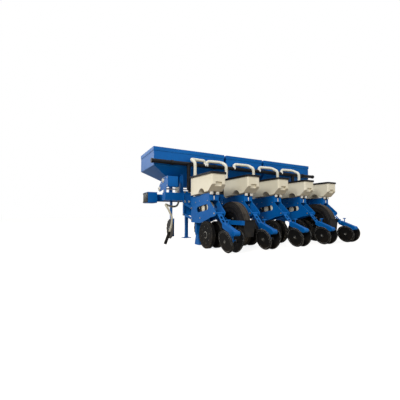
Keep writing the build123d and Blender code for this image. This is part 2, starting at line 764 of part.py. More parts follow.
LID_Z = HOP_TOP_Z + RUN_GAP
LID_FRONT_Y = HOP_FRONT_Y - HOP_WALL
hop_hinge_y = HOP_FRONT_Y + HOP_HINGE_AHEAD
hop_hinge_z = HOP_TOP_Z + HOP_HINGE_UP
hop_lugs, hop_knuckles = hinge(
    places=(-HOP_HINGE_X, HOP_HINGE_X),
    y=hop_hinge_y,
    z=hop_hinge_z,
    wall_y=HOP_FRONT_Y,
    leaf_y=LID_FRONT_Y,
    leaf_z0=LID_Z,
    leaf_z1=LID_Z + LID_T,
    width=HOP_HINGE_W,
    pin_r=HOP_PIN_R,
)
hopper_block = hopper_form(0, 0)
hopper = hopper_block - hopper_form(HOP_WALL, HOP_WALL)
lip = hopper_form(-ARCH_LIP_T, 0) & cross_rod(HOP_ARCH_Y, HOP_ARCH_Z, HOP_FRONT_W, HOP_ARCH_R + ARCH_LIP)
lip -= cross_rod(HOP_ARCH_Y, HOP_ARCH_Z, HOP_FRONT_W, HOP_ARCH_R)
hopper += lip - hopper_block
foot_y = seat_y - CROSS_T / 2
foot_top = HOP_FRONT_LOW_Z + HOP_WALL
hopper += block(-FOOT_X, FOOT_X, foot_y - CROSS_T, foot_y + CROSS_T, HOP_FRONT_SEAT_Z, foot_top)
foot_top = HOP_TOE_Z + HOP_WALL
for x in (-FOOT_X, FOOT_X):
    x0 = x - FOOT_W / 2
    x1 = x + FOOT_W / 2
    hopper += block(x0, x1, BODY_REAR_Y - CROSS_T, BODY_REAR_Y + CROSS_T, HOP_REAR_SEAT_Z, foot_top)
for lug in hop_lugs:
    hopper += lug
save("seed_hoppers", across([hopper]))


def lid_plan(grow):
    """Plan outline of a hopper lid, grown past the hopper rim."""
    plan = Polygon(
        (-HOP_REAR_W / 2 - grow, HOP_REAR_Y - grow),
        (HOP_REAR_W / 2 + grow, HOP_REAR_Y - grow),
        (HOP_FRONT_W / 2 + grow, LID_FRONT_Y),
        (-HOP_FRONT_W / 2 - grow, LID_FRONT_Y),
        align=None,
    )
    return fillet(plan.vertices().sort_by(Axis.Y)[:2], LID_CORNER + grow)


# Seed-hopper lids: flat covers with a skirt round the back and sides, hinged in front
skirt_z = LID_Z + LID_T - LID_LIP
lid = extrude(Pos(0, 0, skirt_z) * lid_plan(RUN_GAP + LID_SKIRT), amount=LID_LIP)
lid -= extrude(Pos(0, 0, skirt_z) * lid_plan(RUN_GAP), amount=LID_LIP - LID_T)
for knuckle in hop_knuckles:
    lid += knuckle
for number, x in enumerate(ROWS, 1):
    save(f"hopper_lid_{number}", Pos(x, 0, 0) * lid)

# Seed meters: round vacuum housings on the opener leg, with their seed inlet under the hopper
inlet_y = METER_Y + INLET_AHEAD
inlet_front = inlet_y + INLET_D / 2
meter = cross_rod(METER_Y, METER_Z, METER_W / 2, METER_R)
meter += block(-INLET_W / 2, INLET_W / 2, inlet_y - INLET_D / 2, inlet_front, METER_Z, HOP_TOE_Z)
meter -= Pos(0, 0, -FACE_GAP) * hopper_block
save("seed_meters", across([meter]))

# Parallel links between the row bodies and their head brackets
link_len = hypot(LINK_REACH, LINK_DROP)
link_flat = SlotCenterToCenter(link_len, LINK_W)
for end in SIDES:
    link_flat -= Pos(end * link_len / 2, 0) * Circle(LINK_PIN_R + RUN_FIT)
link_flat = Rot(0, 0, degrees(atan2(LINK_DROP, LINK_REACH))) * link_flat
links = []
for z in (LINK_BODY_Z, LINK_BODY_Z + LINK_SPREAD):
    middle = Pos((LINK_BODY_Y + LINK_HEAD_Y) / 2, z + LINK_DROP / 2)
    links.extend(pair(plate(middle * link_flat, LINK_X - LINK_T / 2, LINK_X + LINK_T / 2)))
save("parallel_links", across(links))

# Head brackets that bolt the links to the rear face of the toolbar
head_top_z = HEAD_PIN_Z + LINK_SPREAD
ear_in = LINK_X + LINK_T / 2 + END_PLAY
head_out = ear_in + HEAD_EAR_T
ear_flat = wrapped(
    [
        (LINK_HEAD_Y, HEAD_PIN_Z, LINK_W / 2),
        (LINK_HEAD_Y, head_top_z, LINK_W / 2),
        (TOOLBAR_REAR - LINK_W / 2, BEAM_Z, LINK_W / 2),
        (TOOLBAR_REAR - LINK_W / 2, HEAD_PIN_Z, LINK_W / 2),
    ]
)
head = mirrored(plate(ear_flat, ear_in, head_out))
head_low = HEAD_PIN_Z - LINK_W / 2
head_high = BEAM_TOP + HEAD_PIN_BACK
head += block(-head_out, head_out, TOOLBAR_REAR - HEAD_PLATE_T, TOOLBAR_REAR, head_low, head_high)
for z in (HEAD_PIN_Z, head_top_z):
    head += cross_rod(LINK_HEAD_Y, z, head_out + LINK_PIN_END, LINK_PIN_R)
save("link_brackets", across([head]))

# Welded frame: toolbar, front beam and the stringers between them
frame = block(-BEAM_HALF, BEAM_HALF, TOOLBAR_REAR, TOOLBAR_FRONT, BEAM_BOTTOM, BEAM_TOP)
frame += block(-BEAM_HALF, BEAM_HALF, BEAM_REAR, BEAM_FRONT, BEAM_BOTTOM, BEAM_TOP)
stringer_low = BEAM_Z - STRINGER / 2
stringer_x = BEAM_HALF - STRINGER_INSET
for x in (-stringer_x, -LOWER_SPAN / 2, LOWER_SPAN / 2, stringer_x):
    x0 = x - STRINGER / 2
    frame += block(x0, x0 + STRINGER, TOOLBAR_Y, FRONT_BEAM_Y, stringer_low, stringer_low + STRINGER)
save("frame", frame)

# Chain case on the left end of the front beam
case = Pos(-BEAM_HALF - CASE_W / 2, FRONT_BEAM_Y, BEAM_Z) * Box(CASE_W, CASE_D, CASE_H)
save("end_chain_case", fillet(case.edges().filter_by(Axis.X), CASE_CORNER))


# Fertiliser boxes: folded sheet boxes with funnel bottoms, open at the top
def box_form(entry, inset):
    """Solid form of one box, drawn in by a wall thickness."""
    width = entry["width"] - 2 * inset
    depth = BOX_DEPTH - 2 * inset
    low0, low1 = entry["outlet"]
    tub = Pos(entry["x"], BOX_MID_Y, BOX_FOLD_Z) * Rectangle(width, depth)
    outlet = Rectangle(low1 - low0 - 2 * inset, BOX_OUTLET_D - 2 * inset)
    outlet = Pos((low0 + low1) / 2, BOX_MID_Y, BOX_OUTLET_Z + inset) * outlet
    return extrude(tub, amount=BOX_TOP_Z - BOX_FOLD_Z + inset) + loft([outlet, tub])


box_lid_z = BOX_TOP_Z + RUN_GAP
box_lid_top = box_lid_z + BOX_LID_T
box_lid_low = box_lid_top - BOX_LID_H
box_lid_front = BOX_FRONT_Y - BOX_WALL
box_hinge_y = BOX_FRONT_Y + BOX_HINGE_AHEAD
box_hinge_z = BOX_TOP_Z - BOX_HINGE_DROP
boxes = []
for entry in BOX_TABLE:
    walls = box_form(entry, 0) - box_form(entry, BOX_WALL)
    spots = [entry["x"] + side * entry["width"] / 3 for side in SIDES]
    lugs, knuckles = hinge(
        places=spots,
        y=box_hinge_y,
        z=box_hinge_z,
        wall_y=BOX_FRONT_Y,
        leaf_y=box_lid_front,
        leaf_z0=box_lid_z,
        leaf_z1=box_lid_top,
        width=BOX_HINGE_W,
        pin_r=BOX_PIN_R,
    )
    for lug in lugs:
        walls += lug
    boxes.append(walls)
    x0 = entry["x"] - entry["width"] / 2 - RUN_GAP
    x1 = entry["x"] + entry["width"] / 2 + RUN_GAP
    y0 = BOX_REAR_Y - RUN_GAP
    skin = BOX_LID_WALL
    cover = block(x0 - skin, x1 + skin, y0 - skin, box_lid_front, box_lid_low, box_lid_top)
    cover -= block(x0, x1, y0, box_lid_front, box_lid_low, box_lid_z)
    for knuckle in knuckles:
        cover += knuckle
    save(f"box_lid_{entry['name']}", cover)
save("fertiliser_boxes", Compound(children=boxes))

# Posts that carry the boxes, cut to the slope of the funnels
posts = []
for x in POST_X:
    for y in (TOOLBAR_Y, FRONT_BEAM_Y):
        post = block(x - POST / 2, x + POST / 2, y - POST / 2, y + POST / 2, BEAM_TOP, BOX_FOLD_Z)
        for entry in BOX_TABLE:
            post -= box_form(entry, 0)
        posts.append(post.solids().sort_by(Axis.Z)[0])
save("box_posts", Compound(children=posts))

# Fertiliser meters under the box outlets, one to a row, on a common shaft
meter_rear = BOX_MID_Y - FERT_METER_D / 2
meter_front = BOX_MID_Y + FERT_METER_D / 2
meter_flat = Polygon(
    (meter_rear, BOX_OUTLET_Z),
    (meter_front, BOX_OUTLET_Z),
    (meter_front, FERT_LOW_Z + FERT_NECK),
    (meter_front - FERT_NECK, FERT_LOW_Z),
    (meter_rear + FERT_NECK, FERT_LOW_Z),
    (meter_rear, FERT_LOW_Z + FERT_NECK),
    align=None,
)
fert_meter = plate(meter_flat, -FERT_METER_W / 2, FERT_METER_W / 2)
fert_meter += rod((0, BOX_MID_Y, FERT_LOW_Z), (0, BOX_MID_Y, SPOUT_Z), SPOUT_R)
fert_meter -= cross_rod(BOX_MID_Y, FERT_SHAFT_Z, FERT_METER_W, FERT_SHAFT_R + RUN_FIT)
save("fertiliser_meters", across([fert_meter]))
shaft_left = (-DRIVE_X - 3 * DRIVE_PLATE_T, BOX_MID_Y, FERT_SHAFT_Z)
shaft_right = (ROWS[-1] + SHAFT_END, BOX_MID_Y, FERT_SHAFT_Z)
save("fertiliser_shaft", rod(shaft_left, shaft_right, FERT_SHAFT_R))

# Drive cover at the left end: side plate on the toolbar with a closed chain cover behind it
cover_front = COVER_REAR_Y + COVER_D
drive_flat = wrapped(
    [
        (COVER_REAR_Y + COVER_CORNER, COVER_LOW_Z + COVER_CORNER, COVER_CORNER),
        (COVER_REAR_Y + COVER_CORNER, COVER_TOP_Z - COVER_CORNER, COVER_CORNER),
        (cover_front + COVER_D, COVER_TOP_Z - DRIVE_BEARING, DRIVE_BEARING),
        (BOX_MID_Y, FERT_SHAFT_Z, DRIVE_BEARING),
    ]
)
drive_flat -= Pos(BOX_MID_Y, FERT_SHAFT_Z) * Circle(FERT_SHAFT_R + RUN_FIT)
drive_in = DRIVE_PLATE_T - DRIVE_X
drive_cover = plate(drive_flat, -DRIVE_X, drive_in)
drive_cover += block(-DRIVE_X, drive_in, TOOLBAR_REAR, TOOLBAR_FRONT, BEAM_TOP, COVER_LOW_Z + COVER_CORNER)
cover_box = block(
    -DRIVE_X + COVER_LIP,
    -DRIVE_X + COVER_W,
    COVER_REAR_Y + COVER_LIP,
    cover_front,
    COVER_LOW_Z + COVER_LIP,
    COVER_TOP_Z - COVER_LIP,
)
drive_cover += fillet(cover_box.edges().filter_by(Axis.Y).sort_by(Axis.X)[-2:], COVER_CORNER)
save("drive_cover", drive_cover)

# Vacuum manifold along the boxes, with clamps, collars, drop pipes and suction pipes to the fan
manifold = cross_rod(PIPE_Y, PIPE_Z, PIPE_HALF, PIPE_R)
for side in SIDES:
    drop_x = side * (ROWS[-1] + DROP_SHIFT)
    port_y = FAN_REAR - 2 * DROP_R
    manifold += hose(
        [
            (drop_x, PIPE_Y, PIPE_Z),
            (drop_x, PIPE_Y, SUCTION_Z),
            (side * SUCTION_X, PIPE_Y, SUCTION_Z),
            (side * SUCTION_X, port_y - SUCTION_PORT_X, SUCTION_Z),
            (side * SUCTION_PORT_X, port_y, SUCTION_Z),
            (side * SUCTION_PORT_X, FAN_REAR, SUCTION_Z),
        ],
        DROP_R,
        DROP_BEND,
    )
    for place in CLAMP_X:
        x0 = side * place - CLAMP_W / 2
        x1 = side * place + CLAMP_W / 2
        manifold += rod((x0, PIPE_Y, PIPE_Z), (x1, PIPE_Y, PIPE_Z), CLAMP_R)
        manifold += block(x0, x1, PIPE_Y, BOX_REAR_Y, PIPE_Z - CLAMP_R / 2, PIPE_Z + CLAMP_R / 2)
for entry in HOSE_TABLE:
    x = ROWS[entry["row"]] + entry["shift"]
    manifold += rod((x, PIPE_Y, PIPE_Z), (x, PIPE_Y, COLLAR_TOP), COLLAR_R)
save("vacuum_manifold", manifold)

# Vacuum hoses from the collars over the manifold and down to the seed meters
hose_top = PIPE_Z + HOSE_ARCH
hose_y = BODY_FRONT_Y + HOSE_AHEAD
port_z = METER_Z + PORT_UP
vacuum_hoses = []
for entry in HOSE_TABLE:
    x = ROWS[entry["row"]]
    start = x + entry["shift"]
    route = [
        (start, PIPE_Y, COLLAR_TOP),
        (start, PIPE_Y, hose_top),
        (x, PIPE_Y - HOSE_R, hose_top),
        (x, hose_y, hose_top - HOSE_FALL),
        (x, hose_y, port_z),
        (x, inlet_front, port_z),
    ]
    vacuum_hoses.append(hose(route, HOSE_R, HOSE_BENDS))
save("vacuum_hoses", Compound(children=vacuum_hoses))

# Fan housing ahead of the middle box
fan = rod((0, FAN_REAR, FAN_Z), (0, FAN_FRONT, FAN_Z), FAN_R)
fan += block(FAN_R - FAN_OUTLET_W, FAN_R, FAN_REAR, FAN_FRONT, FAN_Z, FAN_Z + FAN_R + FAN_OUTLET_H)
save("fan_housing", fan)

# Belt guard and power take-off shaft that drive the fan
fan_drive = upright(wrapped([(0, PTO_Z, GUARD_R), (0, FAN_Z, GUARD_R)]), FAN_FRONT, GUARD_FRONT)
fan_drive += rod((0, FAN_FRONT, PTO_Z), (0, GUARD_FRONT + PTO_HUB_L, PTO_Z), PTO_HUB_R)
fan_drive += rod((0, FAN_FRONT, PTO_Z), (0, GUARD_FRONT + PTO_LEN, PTO_Z), PTO_R)
save("fan_drive", fan_drive)

# Three-point hitch: lower plates with pins, mast with the top-link ears, fan seat
low_in = (LOWER_SPAN - HITCH_PLATE_T) / 2
low_out = low_in + HITCH_PLATE_T
mast_bar_z = BEAM_BOTTOM - MAST_BAR_H
mast_mid = (MAST_REAR + MAST_FRONT) / 2
heel_r = BEAM / 4
lower_flat = wrapped(
    [
        (BEAM_FRONT + heel_r, BEAM_Z + heel_r, heel_r),
        (BEAM_FRONT + heel_r, BEAM_Z - heel_r, heel_r),
        (mast_mid, mast_bar_z + MAST_BAR_H / 2, MAST_LEG_W / 2),
        (LOWER_PIN_Y, LOWER_PIN_Z, HITCH_END_R),
    ]
)
half = plate(lower_flat, low_in, low_out)
pin_tip = low_out + LOWER_PIN_LEN
half += rod((low_out, LOWER_PIN_Y, LOWER_PIN_Z), (pin_tip, LOWER_PIN_Y, LOWER_PIN_Z), LOWER_PIN_R)
ear_mid = TOP_EAR_IN + TOP_EAR_T / 2
leg_r = MAST_LEG_W / 2
mast_leg = [(LOWER_SPAN / 2, mast_bar_z + leg_r, leg_r), (ear_mid, TOP_PIN_Z, leg_r)]
half += upright(wrapped(mast_leg), MAST_REAR, MAST_FRONT)
ear_heel = MAST_T / 2
ear_flat = wrapped(
    [
        (LOWER_PIN_Y, TOP_PIN_Z, TOP_EAR_R),
        (MAST_REAR + ear_heel, TOP_PIN_Z + TOP_EAR_R - ear_heel, ear_heel),
        (MAST_REAR + ear_heel, TOP_PIN_Z - TOP_EAR_R + ear_heel, ear_heel),
    ]
)
ear_flat -= Pos(LOWER_PIN_Y, TOP_PIN_Z) * Circle(TOP_PIN_R)
half += plate(ear_flat, TOP_EAR_IN, TOP_EAR_IN + TOP_EAR_T)
hitch = mirrored(half)
hitch += block(-low_in, low_in, MAST_REAR, MAST_FRONT, mast_bar_z, mast_bar_z + MAST_BAR_H)
seat = block(-FAN_SEAT_W / 2, FAN_SEAT_W / 2, BEAM_FRONT, FAN_FRONT, BEAM_Z - MAST_BAR_H, BEAM_TOP)
seat -= rod((0, BEAM_FRONT, FAN_Z), (0, GUARD_FRONT, FAN_Z), FAN_R)
save("hitch", Compound(children=[*hitch.solids(), *seat.solids()]))

# Parking stands on the front beam
stand = block(STAND_X - STAND / 2, STAND_X + STAND / 2, BEAM_FRONT, BEAM_FRONT + STAND, 0, BEAM_TOP)
foot_mid = BEAM_FRONT + STAND / 2
stand += Pos(STAND_X, foot_mid, FOOT_PLATE_T / 2) * Box(FOOT_PLATE, FOOT_PLATE, FOOT_PLATE_T)
save("parking_stands", Compound(children=pair(stand)))

# Fertiliser openers: notched discs on legs under the front beam, with drop tubes behind
coulter = Circle(COULTER_R) - PolarLocations(COULTER_R + NOTCH_OUT, COULTER_NOTCHES) * Circle(NOTCH_R)
coulter -= Circle(COULTER_AXLE_R + RUN_FIT)
coulter_disc = extrude(coulter, amount=COULTER_T / 2, both=True)
save("coulter_discs", across([Pos(-COULTER_SIDE, FRONT_BEAM_Y, COULTER_Z) * Rot(0, 90, 0) * coulter_disc]))
leg_x0 = COULTER_T / 2 + COULTER_GAP - COULTER_SIDE
leg_x1 = leg_x0 + COULTER_LEG_T
leg_head = BEAM_BOTTOM - COULTER_LEG_R
leg_flat = wrapped(
    [
        (FRONT_BEAM_Y - COULTER_LEG_R, leg_head, COULTER_LEG_R),
        (FRONT_BEAM_Y + COULTER_LEG_R, leg_head, COULTER_LEG_R),
        (FRONT_BEAM_Y, COULTER_Z, COULTER_FOOT_R),
    ]
)
leg = plate(leg_flat, leg_x0, leg_x1)
axle_left = -COULTER_SIDE - COULTER_T / 2 - COULTER_GAP
leg += rod((leg_x0, FRONT_BEAM_Y, COULTER_Z), (axle_left, FRONT_BEAM_Y, COULTER_Z), COULTER_AXLE_R)
tube_x = leg_x0 + TUBE_R
tube_y = FRONT_BEAM_Y - TUBE_BACK
leg += rod((tube_x, tube_y, TUBE_TOP_Z), (tube_x, tube_y, TUBE_LOW_Z), TUBE_R)
leg += block(leg_x0, leg_x1, tube_y, FRONT_BEAM_Y, TUBE_BRACE_Z, TUBE_BRACE_Z + 2 * COULTER_LEG_R)
save("coulter_legs", across([leg]))

# Fertiliser hoses from the meters to the opener tubes, all but the first row
fert_route = [
    (0, BOX_MID_Y, SPOUT_Z),
    (0, BOX_MID_Y, FERT_HOSE_DIP_Z),
    (tube_x, tube_y, FERT_HOSE_TURN_Z),
    (tube_x, tube_y, TUBE_TOP_Z),
]
fert_hose = hose(fert_route, FERT_HOSE_R, FERT_HOSE_BEND)
save("fertiliser_hoses", Compound(children=[Pos(x, 0, 0) * fert_hose for x in ROWS[1:]]))

# First row's hose hangs loose beside the machine, with a rubber boot on its end
bends = []
for before, corner, after in zip(LOOSE_PATH, LOOSE_PATH[1:], LOOSE_PATH[2:]):
    run_in = Vector(corner) - Vector(before)
    run_out = Vector(after) - Vector(corner)
    turn = radians(run_in.get_angle(run_out))
    bends.append(BEND_SHARE * min(run_in.length, run_out.length) / tan(turn / 2))
print("loose hose bend radii", [round(bend) for bend in bends])
save("loose_hose", hose(LOOSE_PATH, FERT_HOSE_R, bends))
last_run = Vector(LOOSE_PATH[-1]) - Vector(LOOSE_PATH[-2])
boot_tip = Vector(LOOSE_PATH[-1]) + last_run.normalized() * BOOT_LEN
save("loose_hose_end", rod(LOOSE_PATH[-1], boot_tip, BOOT_R))
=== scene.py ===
"""Looks of the five-row vacuum planter: finishes, fastenings, hoses, fittings, studio and camera."""
import json
from math import cos, pi, radians, sin

import bmesh
import bpy
from mathutils import Matrix, Vector


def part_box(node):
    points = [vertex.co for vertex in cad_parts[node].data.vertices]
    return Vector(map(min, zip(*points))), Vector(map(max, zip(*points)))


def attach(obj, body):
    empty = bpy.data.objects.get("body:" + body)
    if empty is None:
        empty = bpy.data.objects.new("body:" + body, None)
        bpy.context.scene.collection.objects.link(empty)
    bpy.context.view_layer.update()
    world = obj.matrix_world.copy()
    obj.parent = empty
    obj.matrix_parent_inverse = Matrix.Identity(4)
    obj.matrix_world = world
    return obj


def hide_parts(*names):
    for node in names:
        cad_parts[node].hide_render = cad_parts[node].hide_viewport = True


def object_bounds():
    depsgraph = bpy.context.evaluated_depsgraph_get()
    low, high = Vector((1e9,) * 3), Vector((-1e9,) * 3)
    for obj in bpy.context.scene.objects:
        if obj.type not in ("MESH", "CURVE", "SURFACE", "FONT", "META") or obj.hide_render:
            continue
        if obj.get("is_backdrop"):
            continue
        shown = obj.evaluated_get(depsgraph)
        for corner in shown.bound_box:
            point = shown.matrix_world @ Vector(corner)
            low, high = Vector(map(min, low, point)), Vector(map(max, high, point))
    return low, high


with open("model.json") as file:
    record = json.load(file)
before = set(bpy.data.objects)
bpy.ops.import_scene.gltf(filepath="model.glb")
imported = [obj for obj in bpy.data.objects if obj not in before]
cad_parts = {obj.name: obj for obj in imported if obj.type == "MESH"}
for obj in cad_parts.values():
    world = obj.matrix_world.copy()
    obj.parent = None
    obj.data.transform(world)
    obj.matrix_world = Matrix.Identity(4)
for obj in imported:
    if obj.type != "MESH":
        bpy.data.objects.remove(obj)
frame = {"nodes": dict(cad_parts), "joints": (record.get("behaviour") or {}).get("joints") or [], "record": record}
CAD_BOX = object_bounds()
NODES = frame["nodes"]

# Layout shared with the frame, in millimetres
MM_IN_METRE = 1000
ROW_PITCH = 650
ROWS = [(n - 2) * ROW_PITCH for n in range(5)]
SIDES = (-1, 1)
SIDE_NAMES = {-1: "left", 1: "right"}

# Camera of the photograph: place and reach in metres, lens in pixels of the frame
CAMERA_PLACE = (-3.196, -3.8725, 0.526)
CAMERA_YAW = radians(27.91)
CAMERA_PITCH = radians(3.10)
FOCAL_PIXELS = 244.2
FRAME_PIXELS = 400
SENSOR_WIDTH = 36.0
CAMERA_REACH = 200.0


# Shader helpers

FLOAT = "NodeSocketFloat"


def link(tree, source, target):
    """Join two sockets of a node tree."""
    tree.links.new(source, target)


def new_group(name, inputs, outputs):
    """An empty shader group with number sockets: inputs by name with their defaults, outputs by name."""
    group = bpy.data.node_groups.new(name, "ShaderNodeTree")
    for label, default in inputs.items():
        socket = group.interface.new_socket(label, in_out="INPUT", socket_type=FLOAT)
        socket.default_value = default
    for label in outputs:
        group.interface.new_socket(label, in_out="OUTPUT", socket_type=FLOAT)
    entry = group.nodes.new("NodeGroupInput")
    out = group.nodes.new("NodeGroupOutput")
    return group, entry.outputs, out.inputs


def math_node(tree, operation, a, b=None, clamp=False):
    """A math node fed by sockets or plain numbers."""
    node = tree.nodes.new("ShaderNodeMath")
    node.operation = operation
    node.use_clamp = clamp
    for place, value in enumerate((a, b)):
        if value is None:
            continue
        if isinstance(value, (int, float)):
            node.inputs[place].default_value = value
        else:
            link(tree, value, node.inputs[place])
    return node.outputs[0]


def product(tree, first, *others):
    """The product of sockets and plain numbers."""
    total = first
    for value in others:
        total = math_node(tree, "MULTIPLY", total, value)
    return total


def mix_colour(tree, factor, a, b):
    """A colour mix of two sockets or colours."""
    node = tree.nodes.new("ShaderNodeMix")
    node.data_type = "RGBA"
    link(tree, factor, node.inputs["Factor"])
    for place, value in ((6, a), (7, b)):
        if isinstance(value, (tuple, list)):
            node.inputs[place].default_value = (*value, 1.0)
        else:
            link(tree, value, node.inputs[place])
    return node.outputs[2]


def noise(tree, vector, scale, detail, rough):
    """A noise texture on a vector socket."""
    node = tree.nodes.new("ShaderNodeTexNoise")
    node.inputs["Scale"].default_value = scale
    node.inputs["Detail"].default_value = detail
    node.inputs["Roughness"].default_value = rough
    link(tree, vector, node.inputs["Vector"])
    return node.outputs["Fac"]


def ramp(tree, factor, low, high):
    """A smooth step from 0 at low to 1 at high."""
    node = tree.nodes.new("ShaderNodeMapRange")
    node.interpolation_type = "SMOOTHSTEP"
    node.inputs["From Min"].default_value = low
    node.inputs["From Max"].default_value = high
    link(tree, factor, node.inputs["Value"])
    return node.outputs["Result"]


# Effects that the finishes share

UNDER_SHADE_UNEVEN = 0.4
EDGE_SAMPLES = 4


def make_mottle():
    """Unevenness of a surface: broad patches and a fine grain."""
    group, given, out = new_group(
        "surface_mottle", {"Patch Scale": 3.0, "Grain Scale": 400.0}, ["Patch", "Grain"])
    coords = group.nodes.new("ShaderNodeTexCoord")
    for label, detail in (("Patch", 4.0), ("Grain", 2.0)):
        texture = group.nodes.new("ShaderNodeTexNoise")
        texture.inputs["Detail"].default_value = detail
        link(group, coords.outputs["Object"], texture.inputs["Vector"])
        link(group, given[label + " Scale"], texture.inputs["Scale"])
        link(group, texture.outputs["Fac"], out[label])
    return group


def make_dust_and_shade():
    """Dusting that falls on upward faces and is thrown up near the ground, and painted shade on faces that look
    down.
    """
    group, given, out = new_group(
        "settled_dust",
        {"Top Amount": 0.3, "Ground Amount": 0.3, "Ground Height": 0.5, "Under Amount": 0.0},
        ["Dust"])
    coords = group.nodes.new("ShaderNodeTexCoord")
    normal = group.nodes.new("ShaderNodeSeparateXYZ")
    link(group, coords.outputs["Normal"], normal.inputs[0])
    place = group.nodes.new("ShaderNodeSeparateXYZ")
    link(group, coords.outputs["Object"], place.inputs[0])
    speckle = noise(group, coords.outputs["Object"], scale=14.0, detail=6.0, rough=0.65)
    patchy = ramp(group, speckle, low=0.38, high=0.68)
    up = ramp(group, normal.outputs["Z"], low=0.35, high=0.95)
    overlay = product(group, up, patchy, given["Top Amount"])
    height = math_node(group, "DIVIDE", place.outputs["Z"], given["Ground Height"], clamp=True)
    near_ground = math_node(group, "SUBTRACT", 1.0, height, clamp=True)
    thrown = product(group, near_ground, patchy, given["Ground Amount"])
    # Painted shade: faces that look down take the brown of the overlay, a little patchy
    down = ramp(group, product(group, normal.outputs["Z"], -1.0), low=0.25, high=0.95)
    soft = math_node(group, "ADD", product(group, patchy, UNDER_SHADE_UNEVEN), 1 - UNDER_SHADE_UNEVEN)
    painted_under_shade = product(group, down, soft, given["Under Amount"])
    total = math_node(group, "ADD", math_node(group, "ADD", overlay, thrown), painted_under_shade, clamp=True)
    link(group, total, out["Dust"])
    return group


def make_edge_wear_and_highlight():
    """Rubbed edges, and on the blue paint a painted highlight: where a rounded normal leaves the true one, broken
    up by noise.
    """
    group, given, out = new_group("rubbed_edges", {"Edge Width": 0.004, "Amount": 0.5}, ["Edge"])
    rounded = group.nodes.new("ShaderNodeBevel")
    rounded.samples = EDGE_SAMPLES
    link(group, given["Edge Width"], rounded.inputs["Radius"])
    true = group.nodes.new("ShaderNodeNewGeometry")
    match = group.nodes.new("ShaderNodeVectorMath")
    match.operation = "DOT_PRODUCT"
    link(group, rounded.outputs["Normal"], match.inputs[0])
    link(group, true.outputs["Normal"], match.inputs[1])
    apart = ramp(group, math_node(group, "SUBTRACT", 1.0, match.outputs["Value"]), low=0.01, high=0.16)
    coords = group.nodes.new("ShaderNodeTexCoord")
    speckle = noise(group, coords.outputs["Object"], scale=22.0, detail=5.0, rough=0.6)
    broken = ramp(group, speckle, low=0.32, high=0.62)
    link(group, product(group, apart, broken, given["Amount"]), out["Edge"])
    return group


MOTTLE = make_mottle()
DUST_AND_SHADE = make_dust_and_shade()
EDGE_WEAR_AND_HIGHLIGHT = make_edge_wear_and_highlight()
# Brown of the dusting, and of the painted shade on faces that look down
DUST_AND_SHADE_COLOUR = (0.37, 0.255, 0.115)
DUST_ROUGHNESS = 0.5


def place_group(tree, group, **values):
    """A group placed in a material with its own values."""
    node = tree.nodes.new("ShaderNodeGroup")
    node.node_tree = group
    for label, value in values.items():
        node.inputs[label.replace("_", " ")].default_value = value
    return node


def finish_material(name, dark, light, rough, patch, grain, bump, bump_mm, dust_and_shade, edge, edge_colour,
                    metallic=0.0, specular=0.5):
    """A procedural finish: patchy tone, edge wear with a painted highlight along the edges of the blue paint,
    dusting with painted shade on faces that look down, uneven gloss and a fine grain in relief.

    rough is (lowest, highest), edge is (width in metres, amount), and the overlay amounts are (dusting on top,
    dusting near the ground, up to this height in metres, painted shade underneath).
    """
    material = bpy.data.materials.new(name)
    material.use_nodes = True
    tree = material.node_tree
    shader = tree.nodes["Principled BSDF"]
    shader.inputs["Metallic"].default_value = metallic
    shader.inputs["Specular IOR Level"].default_value = specular
    uneven = place_group(tree, MOTTLE, Patch_Scale=patch, Grain_Scale=grain)
    overlay = place_group(tree, DUST_AND_SHADE, Top_Amount=dust_and_shade[0], Ground_Amount=dust_and_shade[1], Ground_Height=dust_and_shade[2],
                          Under_Amount=dust_and_shade[3])
    tone = mix_colour(tree, ramp(tree, uneven.outputs["Patch"], low=0.3, high=0.7), dark, light)
    # Edge wear, and on the blue paint a painted highlight along the edges
    edge_mark = place_group(tree, EDGE_WEAR_AND_HIGHLIGHT, Edge_Width=edge[0], Amount=edge[1])
    edge_marked = mix_colour(tree, edge_mark.outputs["Edge"], tone, edge_colour)
    # Dusting on top and near the ground, and painted shade on faces that look down
    colour = mix_colour(tree, overlay.outputs["Dust"], edge_marked, DUST_AND_SHADE_COLOUR)
    link(tree, colour, shader.inputs["Base Color"])
    gloss = tree.nodes.new("ShaderNodeMapRange")
    gloss.inputs["To Min"].default_value = rough[0]
    gloss.inputs["To Max"].default_value = rough[1]
    link(tree, uneven.outputs["Patch"], gloss.inputs["Value"])
    dulled = product(tree, overlay.outputs["Dust"], DUST_ROUGHNESS)
    roughness = math_node(tree, "ADD", gloss.outputs["Result"], dulled, clamp=True)
    link(tree, roughness, shader.inputs["Roughness"])
    relief = tree.nodes.new("ShaderNodeBump")
    relief.inputs["Strength"].default_value = bump
    relief.inputs["Distance"].default_value = bump_mm / MM_IN_METRE
    link(tree, uneven.outputs["Grain"], relief.inputs["Height"])
    link(tree, relief.outputs["Normal"], shader.inputs["Normal"])
    return material
